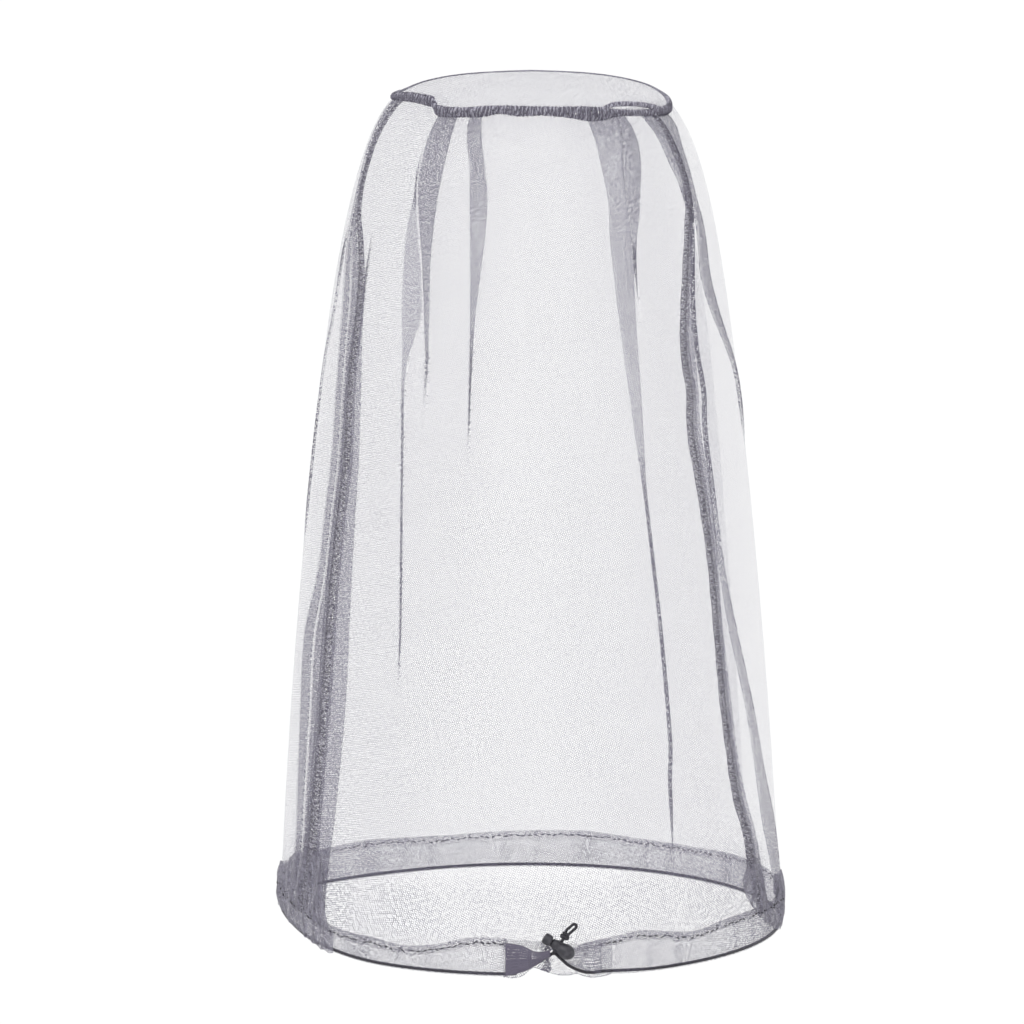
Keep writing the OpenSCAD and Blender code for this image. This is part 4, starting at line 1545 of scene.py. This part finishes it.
def makeDrawCord():
    print("draw cord")
    settings = cordSettings
    left, right = settings["ringExit"]
    ring = []
    for i in range(settings["ringSteps"] + 1):
        angle = left - (left + 360 - right) * i / settings["ringSteps"]
        ring.append(place(angle, hemRadius, cordDepth - hemLift(angle)))
    points = [lockPoint(settings["entry"], settings["apart"], 0)] + fromRoute(settings["leftEnd"]) + ring
    points += fromRoute(settings["rightEnd"]) + [lockPoint(settings["entry"], -settings["apart"], 0)]
    path = curveThrough(points, 8)
    length = pathLength(path)
    print("draw cord length", round(length, 4))
    cord = tubeMesh("drawCord", path, settings["diameter"] / 2 * mm, sides=12)
    cord.data.materials.append(elasticBraid)
    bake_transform(cord)
    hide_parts("draw_cord", "draw_cord_ends")


tailSettings = {
    "diameter": 1.6,
    "leg": 4.2,
    "legsApart": 2.5,
    "lean": 42,
    "loopBase": 10.1,
    "knotMiddle": 6.9,
    "knotTurns": 2.6,
    "knotSteps": 52,
    "knotCord": 0.92,
    # heights of each strand's points through the lock
    "strand": (-4.2, -1, 2, 4.5),
}


def makeTailCord():
    # two strands through the lock, the knot that joins them and the loop beyond it
    print("tail cord")
    settings, side = tailSettings, cordSettings["apart"]
    lean = math.radians(settings["lean"])
    along = Vector((math.cos(lean), 0, math.sin(lean)))
    across = Vector((-math.sin(lean), 0, math.cos(lean)))
    base = lockPoint(settings["loopBase"], 0, 0)
    half = settings["legsApart"] / 2
    knot = lockPoint(settings["knotMiddle"], 0, 0)
    points = [lockPoint(up, side, 0) for up in settings["strand"]]
    points += [knot + Vector((0, 0.6, 0)) * mm + across * 0.3 * mm, base + across * half * mm,
               base + (along * settings["leg"] * 0.55 + across * half) * mm]
    for k in range(0, 7):
        turn = math.pi * k / 6
        beyond = along * (settings["leg"] + half * math.sin(turn))
        points.append(base + (beyond + across * half * math.cos(turn)) * mm)
    points += [base + (along * settings["leg"] * 0.55 - across * half) * mm,
               base - across * half * mm, knot - Vector((0, 0.6, 0)) * mm - across * 0.3 * mm]
    points += [lockPoint(up, -side, 0) for up in reversed(settings["strand"])]
    path = curveThrough(points, 5)
    tail = tubeMesh("tailCord", path, settings["diameter"] / 2 * mm, sides=12)
    tail.data.materials.append(elasticBraid)
    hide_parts("tail_strands", "cord_end_loop")
    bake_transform(tail)

    # an overhand knot: the cord wound round itself
    wraps = []
    steps = settings["knotSteps"]
    for k in range(steps + 1):
        share = k / steps
        turn = 2 * math.pi * settings["knotTurns"] * share
        size = 1.95 - 0.3 * abs(2 * share - 1)
        rise = 5.2 + 3.1 * share + 0.4 * math.sin(turn * 0.5)
        centre = lockPoint(rise, 0, 0)
        aside = Vector((0, 1, 0)) * math.cos(turn) * size
        wraps.append(centre + (aside + towardsHead * math.sin(turn) * size) * mm)
    knotPiece = tubeMesh("tailKnot", wraps, settings["knotCord"] * mm, sides=10)
    knotPiece.data.materials.append(elasticBraid)
    addStack(knotPiece, rounder())
    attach(knotPiece, "tail")
    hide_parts("cord_knot")


lockSettings = {
    # place along the barrel, radius
    "barrel": [(-10.2, 0.05), (-10.0, 1.1), (-9.3, 2.5), (-8.2, 3.55), (-6.8, 4.15), (-5.2, 4.25),
               (-3.8, 4.05), (-2.4, 3.55), (-1.1, 3.15), (0.4, 3.0), (1.8, 2.95), (2.4, 2.9),
               (2.6, 2.6), (4.1, 2.5), (4.2, 2.2), (0.95, 2.1), (0.95, 0.05)],
    # a cap that slides over the barrel's neck, and its stem
    "plunger": [(3.3, 0.05), (3.3, 1.9), (6.5, 1.95), (6.5, 2.75), (4.95, 2.78), (4.9, 2.95), (5.3, 3.1),
                (6.9, 3.2), (8.6, 3.15), (9.1, 2.8), (9.3, 2.1), (9.1, 0.9), (9.05, 0.05)],
    # the rims round the cord hole: along, sideways, thickness, then their height
    "rim": (1.5, 2.2, 0.34),
    "rimUp": 2.75,
    "sides": 28,
}


def turned(name, profile, sides):
    # a round part turned about the lock's own length
    grid = []
    for along, radius in profile:
        row = []
        for k in range(sides):
            turn = 2 * math.pi * k / sides
            row.append(lockPoint(radius * math.sin(turn), radius * math.cos(turn), along))
        grid.append(row)
    part = clothMesh(name, grid, lambda i, j, first: (i * mm, j * mm), closed=True)
    turnOutwards(part.data, closeEnds=True)
    for face in part.data.polygons:
        face.use_smooth = True
    addStack(part, rounder())
    part.data.materials.append(lockPlastic)
    return part


def makeLock():
    print("cord lock")
    barrel = turned("lockBarrel", lockSettings["barrel"], lockSettings["sides"])
    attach(barrel, "lock")
    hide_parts("lock_barrel")
    plunger = turned("lockPlunger", lockSettings["plunger"], lockSettings["sides"])
    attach(plunger, "plunger")
    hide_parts("lock_plunger")
    along, aside, thick = lockSettings["rim"]
    for name, up in (("lockRimLower", -lockSettings["rimUp"]), ("lockRimUpper", lockSettings["rimUp"])):
        turns = [2 * math.pi * k / 20 for k in range(21)]
        path = [lockPoint(up, aside * math.cos(turn), along * math.sin(turn)) for turn in turns]
        rim = tubeMesh(name, path, thick * mm, sides=8)
        rim.data.materials.append(lockPlastic)
        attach(rim, "lock")
    spring = bpy.data.objects["lock_spring"].data
    spring.materials.clear()
    spring.materials.append(springWire)


makeStudio()

panelNet = netCloth("panelNet", (0.1, 0.093, 0.125), (0.27, 0.258, 0.35), 0.05, 0.47, cell=1.1)
hemNet = netCloth("hemNet", (0.095, 0.088, 0.122), (0.2, 0.19, 0.26), 0.15, 0.85, cell=1.12)
bunchedNet = netCloth("bunchedNet", (0.075, 0.068, 0.098), (0.34, 0.33, 0.4), 0.34, 0.8, cell=1.7,
                      streaks=0.2)
facingNet = netCloth("facingNet", (0.1, 0.09, 0.13), (0.15, 0.136, 0.185), 0.55, 0.98, cell=1.15,
                     streaks=0.04, grain=0.08)
crownSeamCloth = sewnEdge("crownSeamCloth", (0.14, 0.13, 0.17), (0.42, 0.41, 0.48), 2.1, 20, 0.62,
                          wander=8)
sideSeamCloth = sewnEdge("sideSeamCloth", (0.13, 0.122, 0.16), (0.4, 0.39, 0.45), 2.6, 12, 0.36,
                         wander=16)
sewingThread = twistedYarn("sewingThread", (0.09, 0.083, 0.11), (0.2, 0.19, 0.24), 2, 0.9, 0.6)
hemThread = twistedYarn("hemThread", (0.014, 0.012, 0.018), (0.05, 0.047, 0.062), 2, 0.9, 0.6)
elasticBraid = twistedYarn("elasticBraid", (0.006, 0.0055, 0.008), (0.035, 0.033, 0.042), 6, 1.4, 0.6)
lockPlastic = hardPart("lockPlastic", (0.022, 0.021, 0.028), (0.06, 0.058, 0.07), 2600, 0.4, 0.0)
springWire = hardPart("springWire", (0.55, 0.55, 0.57), (0.7, 0.7, 0.72), 4000, 0.28, 1.0)

makeDrawCord()
makeTailCord()
makeCrown()
frontPanel, backPanel = makePanels()
leftSeam = makeSideSeam("left", leftSeamLine, seamSettings["leftWidth"], 3)
rightSeam = makeSideSeam("right", rightSeamLine, seamSettings["rightWidth"], 4)
leftTurned = makeAllowance("left", leftSeamLine, seamSettings["leftAllowance"])
rightTurned = makeAllowance("right", rightSeamLine, seamSettings["rightAllowance"])
makeCrownStitches()

print("hem")
leaves, returns = hemSettings["exit"]
meets = hemSettings["seam"]
hemLeft = makeHemStrip("frontHem", -meets, leaves, hemNet)
hemRight = makeHemStrip("frontHemRight", returns, meets, hemNet)
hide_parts("front_hem_casing")
hemBack = makeHemStrip("backHem", meets, 360 - meets, hemNet)
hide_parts("back_hem_casing")
stitchesLeft = makeStitches("frontHemStitches", 1 - meets, leaves - 1, 21)
stitchesRight = makeStitches("frontHemStitchesRight", returns + 1, meets - 1, 22)
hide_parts("front_hem_stitching")
stitchesBack = makeStitches("backHemStitches", meets + 1, 359 - meets, 23)
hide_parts("back_hem_stitching")
cornerLeft = makeCorner("leftCorner", cornerSettings["left"], 31)
cornerRight = makeCorner("rightCorner", cornerSettings["right"], 32)

facing = makeSleeve("exitFacing", exitSettings["facing"], 1.0, 0.75, facingNet)
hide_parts("cord_exit_facing")
leftMouth = makeSleeve("leftCasingMouth", exitSettings["leftMouth"], 1.3, 0.35, facingNet)
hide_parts("left_casing_mouth")
rightMouth = makeSleeve("rightCasingMouth", exitSettings["rightMouth"], 1.2, 0.12, hemNet)
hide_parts("right_casing_mouth")
flap = makeFlap()
makeLock()
